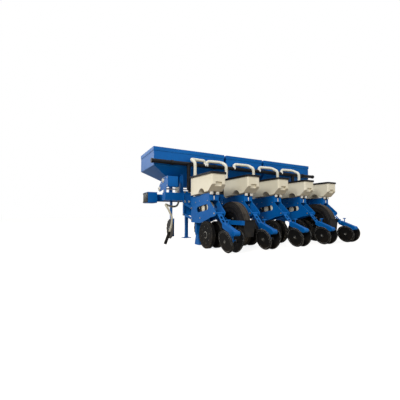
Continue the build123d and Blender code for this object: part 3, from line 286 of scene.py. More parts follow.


# In each finish the last overlay amount is painted shade on faces that look down
FINISHES = {
    # The lighter blue at the edges is a painted highlight
    "blue_paint": finish_material(
        "royal_blue_paint", dark=(0.0005, 0.100, 0.365), light=(0.0008, 0.124, 0.43), rough=(0.36, 0.48),
        patch=2.2, grain=260.0, bump=0.12, bump_mm=0.25, dust_and_shade=(0.05, 0.06, 0.3, 0.0), specular=0.10,
        edge=(0.006, 0.65), edge_colour=(0.06, 0.33, 0.74)),
    "cream_plastic": finish_material(
        "cream_moulded_plastic", dark=(0.76, 0.69, 0.52), light=(0.83, 0.765, 0.60), rough=(0.45, 0.58),
        patch=2.5, grain=900.0, bump=0.15, bump_mm=0.2, dust_and_shade=(0.05, 0.1, 0.3, 0.5),
        edge=(0.006, 0.35), edge_colour=(0.88, 0.83, 0.70)),
    "white_plastic": finish_material(
        "white_moulded_plastic", dark=(0.74, 0.71, 0.63), light=(0.84, 0.81, 0.74), rough=(0.35, 0.5),
        patch=6.0, grain=900.0, bump=0.1, bump_mm=0.15, dust_and_shade=(0.05, 0.1, 0.3, 0.2),
        edge=(0.002, 0.2), edge_colour=(0.9, 0.88, 0.82)),
    "black_plastic": finish_material(
        "black_moulded_plastic", dark=(0.004, 0.004, 0.005), light=(0.008, 0.008, 0.010), rough=(0.42, 0.6),
        patch=4.0, grain=800.0, bump=0.2, bump_mm=0.2, dust_and_shade=(0.03, 0.03, 0.3, 0.0), specular=0.16,
        edge=(0.005, 0.4), edge_colour=(0.035, 0.035, 0.035)),
    "wheel_rubber": finish_material(
        "wheel_rubber", dark=(0.004, 0.004, 0.0045), light=(0.008, 0.0078, 0.0075), rough=(0.55, 0.78),
        patch=9.0, grain=500.0, bump=0.25, bump_mm=0.4, dust_and_shade=(0.05, 0.07, 0.3, 0.0), specular=0.08,
        edge=(0.006, 1.0), edge_colour=(0.18, 0.155, 0.125)),
    "press_rubber": finish_material(
        "press_wheel_rubber", dark=(0.004, 0.004, 0.0045), light=(0.008, 0.0078, 0.0075), rough=(0.5, 0.72),
        patch=9.0, grain=500.0, bump=0.25, bump_mm=0.4, dust_and_shade=(0.05, 0.05, 0.2, 0.0), specular=0.08,
        edge=(0.008, 1.0), edge_colour=(0.34, 0.33, 0.31)),
    "tyre_rubber": finish_material(
        "tyre_rubber", dark=(0.007, 0.0068, 0.0075), light=(0.013, 0.012, 0.0125), rough=(0.55, 0.78),
        patch=7.0, grain=420.0, bump=0.3, bump_mm=0.5, dust_and_shade=(0.08, 0.12, 0.4, 0.0), specular=0.16,
        edge=(0.003, 0.6), edge_colour=(0.14, 0.115, 0.09)),
    "vacuum_hose": finish_material(
        "vacuum_hose_plastic", dark=(0.74, 0.71, 0.58), light=(0.84, 0.81, 0.69), rough=(0.38, 0.52),
        patch=6.0, grain=700.0, bump=0.1, bump_mm=0.15, dust_and_shade=(0.08, 0.1, 0.5, 0.3),
        edge=(0.002, 0.15), edge_colour=(0.85, 0.8, 0.68)),
    "hose_plastic": finish_material(
        "hose_plastic", dark=(0.40, 0.36, 0.26), light=(0.52, 0.48, 0.36), rough=(0.45, 0.6),
        patch=6.0, grain=700.0, bump=0.15, bump_mm=0.2, dust_and_shade=(0.2, 0.2, 0.5, 0.2),
        edge=(0.002, 0.2), edge_colour=(0.6, 0.56, 0.45)),
    "bare_steel": finish_material(
        "bare_steel", dark=(0.32, 0.32, 0.33), light=(0.46, 0.46, 0.47), rough=(0.28, 0.45),
        patch=8.0, grain=900.0, bump=0.15, bump_mm=0.15, dust_and_shade=(0.15, 0.3, 0.3, 0.1), metallic=1.0,
        edge=(0.003, 0.5), edge_colour=(0.62, 0.62, 0.62)),
    "zinc_plate": finish_material(
        "zinc_plated_steel", dark=(0.34, 0.335, 0.31), light=(0.48, 0.475, 0.45), rough=(0.28, 0.42),
        patch=30.0, grain=1400.0, bump=0.08, bump_mm=0.08, dust_and_shade=(0.05, 0.15, 0.3, 0.0), metallic=0.85,
        edge=(0.001, 0.4), edge_colour=(0.75, 0.75, 0.72)),
    "dull_bolt": finish_material(
        "weathered_bolt_steel", dark=(0.10, 0.095, 0.085), light=(0.17, 0.16, 0.145), rough=(0.38, 0.52),
        patch=30.0, grain=1400.0, bump=0.08, bump_mm=0.08, dust_and_shade=(0.05, 0.15, 0.3, 0.0), metallic=0.8,
        edge=(0.001, 0.5), edge_colour=(0.36, 0.35, 0.33)),
    "black_paint": finish_material(
        "black_paint", dark=(0.006, 0.006, 0.0065), light=(0.011, 0.011, 0.0115), rough=(0.35, 0.5),
        patch=5.0, grain=500.0, bump=0.15, bump_mm=0.25, dust_and_shade=(0.10, 0.08, 0.4, 0.0), specular=0.16,
        edge=(0.004, 0.5), edge_colour=(0.05, 0.05, 0.05)),
    "dark_grey_paint": finish_material(
        "dark_grey_paint", dark=(0.018, 0.019, 0.014), light=(0.026, 0.027, 0.020), rough=(0.45, 0.55),
        patch=2.5, grain=500.0, bump=0.15, bump_mm=0.25, dust_and_shade=(0.05, 0.05, 0.4, 0.0), specular=0.2,
        edge=(0.004, 0.4), edge_colour=(0.10, 0.10, 0.09)),
}

# Every frame node takes the finish of its slot, and the press wheels one with worn rims
for part in frame["record"]["subparts"]:
    solid = NODES[part["node"]]
    worn_rim = part["node"].startswith("press_wheel")
    solid.data.materials.clear()
    solid.data.materials.append(FINISHES["press_rubber" if worn_rim else part["material_slot"]])


# Geometry trees for what repeats or follows a line

GEOMETRY = "NodeSocketGeometry"


def geometry_tree(name, sizes):
    """An empty geometry tree with a finish and named sizes, given with their defaults."""
    tree = bpy.data.node_groups.new(name, "GeometryNodeTree")
    tree.interface.new_socket("Geometry", in_out="INPUT", socket_type=GEOMETRY)
    for label, default in sizes.items():
        kind = "NodeSocketInt" if isinstance(default, int) else FLOAT
        socket = tree.interface.new_socket(label, in_out="INPUT", socket_type=kind)
        socket.default_value = default
    tree.interface.new_socket("Finish", in_out="INPUT", socket_type="NodeSocketMaterial")
    tree.interface.new_socket("Geometry", in_out="OUTPUT", socket_type=GEOMETRY)
    given = tree.nodes.new("NodeGroupInput").outputs
    return tree, given, tree.nodes.new("NodeGroupOutput").inputs[0]


def put(tree, kind, sockets=None, **settings):
    """A node with its settings made and its inputs set or linked by name."""
    node = tree.nodes.new(kind)
    for label, value in settings.items():
        setattr(node, label, value)
    for label, value in (sockets or {}).items():
        if isinstance(value, bpy.types.NodeSocket):
            link(tree, value, node.inputs[label])
        else:
            node.inputs[label].default_value = value
    return node


def attribute(tree, name, kind):
    """A named attribute of the points."""
    node = put(tree, "GeometryNodeInputNamedAttribute", {"Name": name}, data_type=kind)
    return node.outputs["Attribute"]


def close_tree(tree, geometry, finish, out):
    """End a tree with real geometry in its finish."""
    real = put(tree, "GeometryNodeRealizeInstances", {"Geometry": geometry})
    done = put(tree, "GeometryNodeSetMaterial", {"Geometry": real.outputs[0], "Material": finish})
    link(tree, done.outputs[0], out)


def copies_on_points(tree, points, shapes):
    """Joined shapes, placed on points that carry a facing and a size."""
    joined = put(tree, "GeometryNodeJoinGeometry")
    for shape in shapes:
        link(tree, shape, joined.inputs[0])
    turn = put(tree, "FunctionNodeAlignRotationToVector",
               {"Vector": attribute(tree, "facing", "FLOAT_VECTOR")}, axis="Z")
    return put(tree, "GeometryNodeInstanceOnPoints", {
        "Points": points, "Instance": joined.outputs[0], "Rotation": turn.outputs[0],
        "Scale": attribute(tree, "size", "FLOAT"),
    }).outputs[0]


HEX_SIDES = 6
WASHER_SIDES = 14
STUD_SIDES = 8
STUD_RADIUS_SHARE = 0.55
STUD_HEIGHT_SHARE = 0.45


def make_bolt_tree():
    """Hex heads on washers with a stud end."""
    tree, given, out = geometry_tree("hex_bolts", {
        "Head Radius": 0.010, "Head Height": 0.007, "Washer Radius": 0.014, "Washer Height": 0.002,
    })

    def turned(sides, radius, height, base):
        disc = put(tree, "GeometryNodeMeshCylinder",
                   {"Vertices": sides, "Radius": radius, "Depth": height})
        lift = math_node(tree, "ADD", product(tree, height, 0.5), base)
        offset = put(tree, "ShaderNodeCombineXYZ", {"Z": lift})
        return put(tree, "GeometryNodeTransform",
                   {"Geometry": disc.outputs["Mesh"], "Translation": offset.outputs[0]}).outputs[0]

    top = math_node(tree, "ADD", given["Washer Height"], given["Head Height"])
    stud_radius = product(tree, given["Head Radius"], STUD_RADIUS_SHARE)
    stud_height = product(tree, given["Head Height"], STUD_HEIGHT_SHARE)
    shapes = [
        turned(WASHER_SIDES, given["Washer Radius"], given["Washer Height"], 0.0),
        turned(HEX_SIDES, given["Head Radius"], given["Head Height"], given["Washer Height"]),
        turned(STUD_SIDES, stud_radius, stud_height, top),
    ]
    close_tree(tree, copies_on_points(tree, given["Geometry"], shapes), given["Finish"], out)
    return tree


SCREW_SIDES = 10
SCREW_LENGTH_SHARE = 3.4
BAND_SIDES = 28


def make_clamp_tree():
    """Worm-drive clamps: a flat band round a hose with its screw housing."""
    tree, given, out = geometry_tree("hose_clamps", {
        "Band Radius": 0.031, "Band Width": 0.012, "Band Thickness": 0.0016, "Screw Radius": 0.006,
    })
    outer = math_node(tree, "ADD", given["Band Radius"], given["Band Thickness"])
    screw_length = product(tree, given["Screw Radius"], SCREW_LENGTH_SHARE)
    screw = put(tree, "GeometryNodeMeshCylinder",
                {"Vertices": SCREW_SIDES, "Radius": given["Screw Radius"], "Depth": screw_length})
    screw_centre = math_node(tree, "ADD", outer, given["Screw Radius"])
    reach = put(tree, "ShaderNodeCombineXYZ", {"X": screw_centre})
    housing = put(tree, "GeometryNodeTransform", {
        "Geometry": screw.outputs["Mesh"], "Translation": reach.outputs[0], "Rotation": (pi / 2, 0, 0)})
    band = put(tree, "GeometryNodeMeshCylinder",
               {"Vertices": BAND_SIDES, "Radius": outer, "Depth": given["Band Width"]})
    shapes = [band.outputs["Mesh"], housing.outputs[0]]
    close_tree(tree, copies_on_points(tree, given["Geometry"], shapes), given["Finish"], out)
    return tree


BEND_STEPS = 12
STEPS_PER_RIB = 6.0


def make_hose_tree():
    """A tube along a line with rounded corners, ribbed between plain cuffs."""
    tree, given, out = geometry_tree("ribbed_hose", {
        "Radius": 0.03, "Rib Depth": 0.003, "Rib Pitch": 0.015, "Cuff Length": 0.035, "Sides": 20,
    })
    pitch = given["Rib Pitch"]
    line = put(tree, "GeometryNodeMeshToCurve", {"Mesh": given["Geometry"]})
    rounded = put(tree, "GeometryNodeFilletCurve", mode="POLY")
    link(tree, line.outputs[0], rounded.inputs["Curve"])
    rounded.inputs["Count"].default_value = BEND_STEPS
    link(tree, attribute(tree, "bend", "FLOAT"), rounded.inputs["Radius"])
    even = put(tree, "GeometryNodeResampleCurve", mode="LENGTH")
    link(tree, rounded.outputs[0], even.inputs["Curve"])
    link(tree, math_node(tree, "DIVIDE", pitch, STEPS_PER_RIB), even.inputs["Length"])
    along = put(tree, "GeometryNodeSplineParameter").outputs["Length"]
    whole = put(tree, "GeometryNodeSplineLength").outputs["Length"]
    from_end = math_node(tree, "MINIMUM", along, math_node(tree, "SUBTRACT", whole, along))
    beyond = math_node(tree, "SUBTRACT", from_end, given["Cuff Length"])
    past_cuff = math_node(tree, "DIVIDE", beyond, pitch, clamp=True)
    turns = product(tree, math_node(tree, "DIVIDE", along, pitch), 2 * pi)
    wave = math_node(tree, "SUBTRACT", math_node(tree, "SINE", turns), 1.0)
    ribs = product(tree, product(tree, wave, past_cuff), product(tree, given["Rib Depth"], 0.5))
    profile = put(tree, "GeometryNodeCurvePrimitiveCircle", {"Resolution": given["Sides"], "Radius": 1.0})
    tube = put(tree, "GeometryNodeCurveToMesh", {
        "Curve": even.outputs[0], "Profile Curve": profile.outputs["Curve"],
        "Scale": math_node(tree, "ADD", given["Radius"], ribs), "Fill Caps": True})
    smooth = put(tree, "GeometryNodeSetShadeSmooth", {"Geometry": tube.outputs[0]})
    close_tree(tree, smooth.outputs[0], given["Finish"], out)
    return tree


BOLTS = make_bolt_tree()
CLAMPS = make_clamp_tree()
HOSES = make_hose_tree()


def grown(name, source, tree, **sizes):
    """Run a tree on a mesh and keep the result as a plain piece."""
    holder = bpy.data.objects.new(name + "_line", source)
    bpy.context.scene.collection.objects.link(holder)
    form = holder.modifiers.new("form", "NODES")
    form.node_group = tree
    for item in tree.interface.items_tree:
        key = item.name.replace(" ", "_")
        if item.in_out == "INPUT" and key in sizes:
            form[item.identifier] = sizes[key]
    depsgraph = bpy.context.evaluated_depsgraph_get()
    mesh = bpy.data.meshes.new_from_object(holder.evaluated_get(depsgraph))
    holder.modifiers.remove(form)
    bpy.data.objects.remove(holder)
    bpy.data.meshes.remove(source)
    mesh.name = name
    piece = bpy.data.objects.new(name, mesh)
    bpy.context.scene.collection.objects.link(piece)
    return piece


def points_mesh(name, rows):
    """Loose points with a facing and a size, from rows of (place, facing, size)."""
    mesh = bpy.data.meshes.new(name)
    mesh.from_pydata([tuple(row[0]) for row in rows], [], [])
    mesh.attributes.new("facing", "FLOAT_VECTOR", "POINT")
    mesh.attributes.new("size", "FLOAT", "POINT")
    facings = [number for row in rows for number in row[1]]
    mesh.attributes["facing"].data.foreach_set("vector", facings)
    mesh.attributes["size"].data.foreach_set("value", [row[2] for row in rows])
    return mesh


def line_mesh(name, lines):
    """Open lines from rows of (points, bend radii at the points between the ends)."""
    places = []
    edges = []
    bends = []
    for points, radii in lines:
        first = len(places)
        places.extend(tuple(point) for point in points)
        edges.extend((first + n, first + n + 1) for n in range(len(points) - 1))
        bends.extend([0.0, *radii, 0.0])
    mesh = bpy.data.meshes.new(name)
    mesh.from_pydata(places, edges, [])
    bend = mesh.attributes.new("bend", "FLOAT", "POINT")
    bend.data.foreach_set("value", bends)
    return mesh


# Mesh helpers

SHARP_ANGLE = radians(32)
EDGE_STEPS = 2


def at(x, y, z):
    """A place given in millimetres of the frame."""
    return Vector((x, y, z)) / MM_IN_METRE


def onto(axis):
    """The turn that takes the upright onto an axis."""
    return Vector((0, 0, 1)).rotation_difference(Vector(axis)).to_matrix()


def lathe(form, profile, origin, axis, segments, closed=False):
    """Add a turned shape; the profile's rows are (radius, distance along the axis) in millimetres."""
    turn = onto(axis)
    rings = []
    for radius, along in profile:
        ring = []
        for n in range(segments if radius > 0 else 1):
            angle = 2 * pi * n / segments
            offset = turn @ at(radius * cos(angle), radius * sin(angle), along)
            ring.append(form.verts.new(Vector(origin) + offset))
        rings.append(ring)
    spans = list(zip(rings, rings[1:]))
    if closed:
        spans.append((rings[-1], rings[0]))
    for low, high in spans:
        for n in range(segments):
            after = (n + 1) % segments
            corners = (low[n % len(low)], low[after % len(low)],
                       high[after % len(high)], high[n % len(high)])
            corners = list(dict.fromkeys(corners))
            if len(corners) > 2:
                form.faces.new(corners)


def slab(form, low, high, edge):
    """Add a block with rounded edges, from its low to its high corner in millimetres."""
    middle = (Vector(low) + Vector(high)) / (2 * MM_IN_METRE)
    size = (Vector(high) - Vector(low)) / MM_IN_METRE
    place = Matrix.Translation(middle) @ Matrix.Diagonal((*size, 1.0))
    made = bmesh.ops.create_cube(form, size=1.0, matrix=place)
    edges = list({e for v in made["verts"] for e in v.link_edges})
    bmesh.ops.bevel(form, geom=edges, offset=edge / MM_IN_METRE, segments=EDGE_STEPS, profile=0.5,
                    affect="EDGES")


def finished(form, name, finish, body):
    """Turn a form into a piece that rides on a body."""
    bmesh.ops.recalc_face_normals(form, faces=form.faces)
    mesh = bpy.data.meshes.new(name)
    form.to_mesh(mesh)
    form.free()
    mesh.materials.append(finish)
    mesh.polygons.foreach_set("use_smooth", [True] * len(mesh.polygons))
    mesh.set_sharp_from_angle(angle=SHARP_ANGLE)
    piece = bpy.data.objects.new(name, mesh)
    bpy.context.scene.collection.objects.link(piece)
    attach(piece, body)
    return piece


# Fastenings are gathered by body and finish, and set at the end
FASTENINGS = {}


def fasten(body, place, facing, size, finish="zinc_plate"):
    """Note a bolt that sits on a face of a body."""
    FASTENINGS.setdefault((body, finish), []).append((Vector(place), Vector(facing), size))


def fasten_ring(body, centre, axis, radius, count, size, start=0.0, finish="zinc_plate"):
    """Note a ring of bolts round an axis, radius in millimetres."""
    turn = onto(axis)
    for n in range(count):
        angle = start + 2 * pi * n / count
        place = Vector(centre) + turn @ at(radius * cos(angle), radius * sin(angle), 0)
        fasten(body, place, axis, size, finish)


def wheel_axis(body, side):
    """A wheel's centre and its axis pointing away from its row."""
    joint = next(j for j in frame["joints"] if j["child"] == body)
    axis = Vector(joint["axis"]).normalized()
    if axis.x * side < 0:
        axis = -axis
    return Vector(joint["pos_m"]), axis


# Gauge and press wheels: bright hub rings, face bolts and axle bolts

GAUGE_RECESS = 6.0
GAUGE_BOLTS = 8
GAUGE_BOLT_CIRCLE = 122
GAUGE_BOLT_SIZE = 0.62
GAUGE_BOLT_START = 0.2
HUB_RING = [(42.4, 0), (50, 0), (50, 1.6), (48, 3), (43.5, 3), (42.4, 2)]
HUB_SEGMENTS = 48
PRESS_HALF = 12.5
PRESS_BOLT_SIZE = 0.8

for row in range(1, len(ROWS) + 1):
    for side in SIDES:
        body = f"gauge_wheel_{row}_{SIDE_NAMES[side]}"
        low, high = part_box(body)
        centre, axis = wheel_axis(body, side)
        face = Vector((high[0] if side > 0 else low[0], centre.y, centre.z))
        recess = face - axis * GAUGE_RECESS / MM_IN_METRE
        fasten_ring(body, recess, axis, GAUGE_BOLT_CIRCLE, GAUGE_BOLTS, GAUGE_BOLT_SIZE,
                    start=GAUGE_BOLT_START, finish="dull_bolt")
        hub = bmesh.new()
        lathe(hub, HUB_RING, recess, axis, HUB_SEGMENTS, closed=True)
        finished(hub, f"gauge_hub_ring_{row}_{SIDE_NAMES[side]}", FINISHES["zinc_plate"], body)
        body = f"press_wheel_{row}_{SIDE_NAMES[side]}"
        centre, axis = wheel_axis(body, side)
        fasten(body, centre + axis * PRESS_HALF / MM_IN_METRE, axis, PRESS_BOLT_SIZE)

# Ground wheels: ribbed tyres over the solid's section, wheel bolts, axle nuts

TYRE_R = 352.0
TYRE_HALF = 82.5
CROWN_HALF = 55.0
SHOULDER = 58.0
BEAD_R = 215.0
BEAD_HALF = 62.5
TYRE_SEGMENTS = 112
TYRE_AXLE_Y = -769.0
TYRE_AXLE_Z = 352.0
GROOVE_FLOOR_SHARE = 0.7
SHOULDER_GROOVES = (0.30, 0.62, 0.92)
TREAD_DUST_AND_HIGHLIGHT = 0.38
TREAD_DUST_AND_HIGHLIGHT_COLOUR = (0.13, 0.105, 0.08)
# The pale mark, dusting and a painted highlight where the ribs catch light, is full above the lesser depth under
# the crown and gone below the greater
PALE_FULL_DEPTH = 1
PALE_GONE_DEPTH = 6
RIM_DISC_HALF = 6.0
WHEEL_BOLTS = 6
WHEEL_BOLT_CIRCLE = 92
WHEEL_BOLT_SIZE = 1.3
AXLE_NUT_X = 1103.5
AXLE_NUT_SIZE = 2.4


def groove(start, end, share, width, depth):
    """Four points of a groove in a straight flank, at a share of its length."""
    flank = Vector(end) - Vector(start)
    across = flank.normalized() * width / 2
    inwards = Vector((-flank.y, flank.x)).normalized() * depth
    if inwards.x > 0:
        inwards = -inwards
    middle = Vector(start) + flank * share
    floor = across * GROOVE_FLOOR_SHARE
    return [tuple(middle - across), tuple(middle - floor + inwards),
            tuple(middle + floor + inwards), tuple(middle + across)]


def tyre_section():
    """Half of the tyre's section from bead to crown, as (radius, half width) with its rib grooves."""
    bead = (BEAD_R, BEAD_HALF)
    wall = (TYRE_R - SHOULDER, TYRE_HALF)
    crown = (TYRE_R, CROWN_HALF)
    middle = (TYRE_R, 0.0)
    rows = [bead]
    rows += groove(bead, wall, share=0.18, width=4, depth=2.0)
    rows += groove(bead, wall, share=0.82, width=5, depth=2.5)
    rows.append(wall)
    for share in SHOULDER_GROOVES:
        rows += groove(wall, crown, share, width=8, depth=7.0)
    rows += groove(crown, middle, share=0.42, width=10, depth=8.0)
    return rows


def pale_tread_ribs(material):
    """Pale dusting and a painted highlight on the crown ribs of the tyres, where they catch light, with the
    grooves left dark.
    """
    tree = material.node_tree
    shader = tree.nodes["Principled BSDF"]
    unmarked = shader.inputs["Base Color"].links[0].from_socket
    coords = tree.nodes.new("ShaderNodeTexCoord")
    centred = tree.nodes.new("ShaderNodeMapping")
    centred.inputs["Location"].default_value = (0, -TYRE_AXLE_Y / MM_IN_METRE, -TYRE_AXLE_Z / MM_IN_METRE)
    centred.inputs["Scale"].default_value = (0, 1, 1)
    link(tree, coords.outputs["Object"], centred.inputs["Vector"])
    radius = tree.nodes.new("ShaderNodeVectorMath")
    radius.operation = "LENGTH"
    link(tree, centred.outputs[0], radius.inputs[0])
    rib = ramp(tree, radius.outputs["Value"], low=(TYRE_R - PALE_GONE_DEPTH) / MM_IN_METRE,
               high=(TYRE_R - PALE_FULL_DEPTH) / MM_IN_METRE)
    speckle = noise(tree, coords.outputs["Object"], scale=9.0, detail=5.0, rough=0.6)
    # Painted highlight and dusting: the crown ribs are lightened towards a brown
    amount = product(tree, rib, ramp(tree, speckle, low=0.25, high=0.6), TREAD_DUST_AND_HIGHLIGHT)
    link(tree, mix_colour(tree, amount, unmarked, TREAD_DUST_AND_HIGHLIGHT_COLOUR), shader.inputs["Base Color"])


pale_tread_ribs(FINISHES["tyre_rubber"])
for side in SIDES:
    name = SIDE_NAMES[side]
    body = f"ground_wheel_{name}"
    centre, axis = wheel_axis(body, side)
    half = tyre_section()
    section = half + [(radius, -width) for radius, width in reversed(half)]
    tyre = bmesh.new()
    lathe(tyre, section, centre, axis, TYRE_SEGMENTS, closed=True)
    piece = finished(tyre, f"ribbed_tyre_{name}", FINISHES["tyre_rubber"], body)
    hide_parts(f"tyre_{name}")
    for facing in SIDES:
        face = centre + axis * (facing * RIM_DISC_HALF / MM_IN_METRE)
        fasten_ring(body, face, axis * facing, WHEEL_BOLT_CIRCLE, WHEEL_BOLTS, WHEEL_BOLT_SIZE)
    fasten("machine", at(side * AXLE_NUT_X, TYRE_AXLE_Y, TYRE_AXLE_Z), (side, 0, 0), AXLE_NUT_SIZE)


# Hoses: ribbed vacuum and fertiliser hoses, and the loose one
# Places are in millimetres, bend radii and the sizes of the trees in metres

MANIFOLD_Y = 87
MANIFOLD_Z = 1412
VACUUM_STARTS = (-994, -956, -330, 320, 970)
VACUUM_BENDS = (0.046, 0.060, 0.090, 0.100)
VACUUM_START_Z = 1452
VACUUM_TOP_Z = 1500
VACUUM_TURN_Y = 57
VACUUM_DROP_Y = -112
VACUUM_DROP_Z = 1410
METER_INLET_Y = -350
METER_INLET_Z = 705
MANIFOLD_CLAMP_Z = 1446
METER_CLAMP_Y = -318

vacuum_lines = []
vacuum_bands = []
for x, start in zip(ROWS, VACUUM_STARTS):
    route = [
        at(start, MANIFOLD_Y, VACUUM_START_Z), at(start, MANIFOLD_Y, VACUUM_TOP_Z),
        at(x, VACUUM_TURN_Y, VACUUM_TOP_Z), at(x, VACUUM_DROP_Y, VACUUM_DROP_Z),
        at(x, VACUUM_DROP_Y, METER_INLET_Z), at(x, METER_INLET_Y, METER_INLET_Z),
    ]
    vacuum_lines.append((route, VACUUM_BENDS))
    vacuum_bands.append((at(start, MANIFOLD_Y, MANIFOLD_CLAMP_Z), (0, 0, 1), 1.0))
    vacuum_bands.append((at(x, METER_CLAMP_Y, METER_INLET_Z), (0, 1, 0), 0.9))
vacuum = grown("ribbed_vacuum_hoses", line_mesh("vacuum_lines", vacuum_lines), HOSES,
               Radius=0.030, Rib_Depth=0.0045, Rib_Pitch=0.016, Cuff_Length=0.03, Sides=20,
               Finish=FINISHES["vacuum_hose"])
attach(vacuum, "machine")
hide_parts("vacuum_hoses")
bands = grown("vacuum_hose_clamps", points_mesh("vacuum_bands", vacuum_bands), CLAMPS,
              Band_Radius=0.0345, Band_Width=0.013, Screw_Radius=0.006, Finish=FINISHES["zinc_plate"])
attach(bands, "machine")

OUTLET_Y = 588.5
OUTLET_Z = 893
OUTLET_CLAMP_Z = 884
FERTILISER_TURN_Z = 700
FERTILISER_BEND = 0.110
DROP_TUBE_SHIFT = 53.5
DROP_TUBE_Y = 774
DROP_TURN_Z = 600
DROP_TUBE_Z = 420
DROP_CLAMP_Z = 432

fertiliser_lines = []
fertiliser_bands = []
for x in ROWS[1:]:
    drop = x - DROP_TUBE_SHIFT
    route = [
        at(x, OUTLET_Y, OUTLET_Z), at(x, OUTLET_Y, FERTILISER_TURN_Z),
        at(drop, DROP_TUBE_Y, DROP_TURN_Z), at(drop, DROP_TUBE_Y, DROP_TUBE_Z),
    ]
    fertiliser_lines.append((route, (FERTILISER_BEND, FERTILISER_BEND)))
    fertiliser_bands.append((at(x, OUTLET_Y, OUTLET_CLAMP_Z), (0, 0, 1), 1.0))
    fertiliser_bands.append((at(drop, DROP_TUBE_Y, DROP_CLAMP_Z), (0, 0, 1), 1.0))
fertiliser = grown("ribbed_fertiliser_hoses", line_mesh("fertiliser_lines", fertiliser_lines), HOSES,
                   Radius=0.0185, Rib_Depth=0.0025, Rib_Pitch=0.011, Cuff_Length=0.03, Sides=16,
                   Finish=FINISHES["hose_plastic"])
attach(fertiliser, "machine")
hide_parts("fertiliser_hoses")
fertiliser_bands.append((at(ROWS[0], OUTLET_Y, OUTLET_CLAMP_Z), (0, 0, 1), 1.0))
bands = grown("fertiliser_hose_clamps", points_mesh("fertiliser_bands", fertiliser_bands), CLAMPS,
              Band_Radius=0.0188, Band_Width=0.010, Screw_Radius=0.005, Finish=FINISHES["zinc_plate"])
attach(bands, "machine")

LOOSE_ROUTE = [
    (-1300, 588.5, 893), (-1300, 588.5, 680), (-1500, 470, 640), (-1745, 200, 700), (-1730, 40, 600),
    (-1640, 30, 400), (-1715, 20, 215),
]
LOOSE_STEPS = 24


def spline_points(name, route):
    """Points along a smooth line that a route's points draw in."""
    data = bpy.data.curves.new(name, "CURVE")
    data.dimensions = "3D"
    data.resolution_u = LOOSE_STEPS
    spline = data.splines.new("NURBS")
    spline.points.add(len(route) - 1)
    for point, place in zip(spline.points, route):
        point.co = (*at(*place), 1.0)
    spline.order_u = 3
    spline.use_endpoint_u = True
    holder = bpy.data.objects.new(name, data)
    bpy.context.scene.collection.objects.link(holder)
    depsgraph = bpy.context.evaluated_depsgraph_get()
    mesh = bpy.data.meshes.new_from_object(holder.evaluated_get(depsgraph))
    points = [v.co.copy() for v in mesh.vertices]
    bpy.data.objects.remove(holder)
    bpy.data.meshes.remove(mesh)
    bpy.data.curves.remove(data)
    return points


loose_path = spline_points("loose_hose_line", LOOSE_ROUTE)
loose_line = line_mesh("loose_line", [(loose_path, [0.0] * (len(loose_path) - 2))])
loose = grown("loose_ribbed_hose", loose_line, HOSES,
              Radius=0.0185, Rib_Depth=0.0025, Rib_Pitch=0.011, Cuff_Length=0.03, Sides=18,
              Finish=FINISHES["hose_plastic"])
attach(loose, "machine")
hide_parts("loose_hose")


# Row units: catches, clips, foot caps and lid panels of the hoppers, meter covers, bolts and pins

# Blocks are (low corner, high corner, rounding), with x counted from the place that they are set at
CATCH_BLOCKS = (
    ((-15, -752, 792), (15, -740.2, 824), 2.5),
    ((-6, -764, 800), (6, -750, 832), 2.0),
)
CATCH_PIN = [(0, -19), (4, -19), (4, 19), (0, 19)]
CATCH_PIN_Y = -756
CATCH_PIN_Z = 806
CLIP_BLOCKS = (
    ((-7, -747, 728), (7, -740.2, 786), 2.0),
    ((-4.5, -752, 734), (4.5, -745, 770), 2.0),
)
LID_PANEL_BLOCKS = (
    ((-90, -810, 1130.5), (90, -655, 1134), 1.5),
    ((-90, -635, 1130.5), (90, -480, 1134), 1.5),
    ((-90, -460, 1130.5), (90, -305, 1134), 1.5),
)
FOOT_OUT = 53
FOOT_BLOCKS = (
    ((-27, -765, 806), (27, -750.2, 851), 4.0),
    ((-17, -769, 816), (17, -763, 841), 2.5),
)
METER_OUT = 62
METER_Y = -520
METER_Z = 602
METER_COVER = [
    (56, 0), (116, 0), (116, 3), (112, 6), (100, 6), (97, 4), (70, 4), (66, 6), (58, 6), (56, 4),
]
METER_SEGMENTS = 56
METER_BOLTS = 5
METER_BOLT_CIRCLE = 32
METER_BOLT_SIZE = 0.62
# Bolts of a body's side plate as (y, z, size), and pins of its links as (out, y, z)
BODY_OUT = 82.0
BODY_BOLTS = (
    (-300, 700, 0.65), (-690, 715, 0.65), (-430, 722, 0.55), (-885, 525, 1.0), (-455, 452, 1.0),
)
LINK_PINS = ((82, -152, 420), (82, -152, 610), (76, 205, 504), (76, 205, 694))
LINK_PIN_SIZE = 1.35
HEAD_BOLT_OUT = 44
HEAD_BOLT_Y = 226
HEAD_BOLTS_Z = (742, 917)
HEAD_BOLT_SIZE = 1.5
DISC_HUB_OUT = 92.5
DISC_HUB_Y = 850
DISC_HUB_Z = 208
DISC_BOLTS = 4
DISC_BOLT_CIRCLE = 36
DISC_BOLT_SIZE = 1.1


def set_blocks(form, across, blocks):
    """Add rounded blocks at a place across the machine."""
    for low, high, edge in blocks:
        slab(form, (across + low[0], *low[1:]), (across + high[0], *high[1:]), edge)


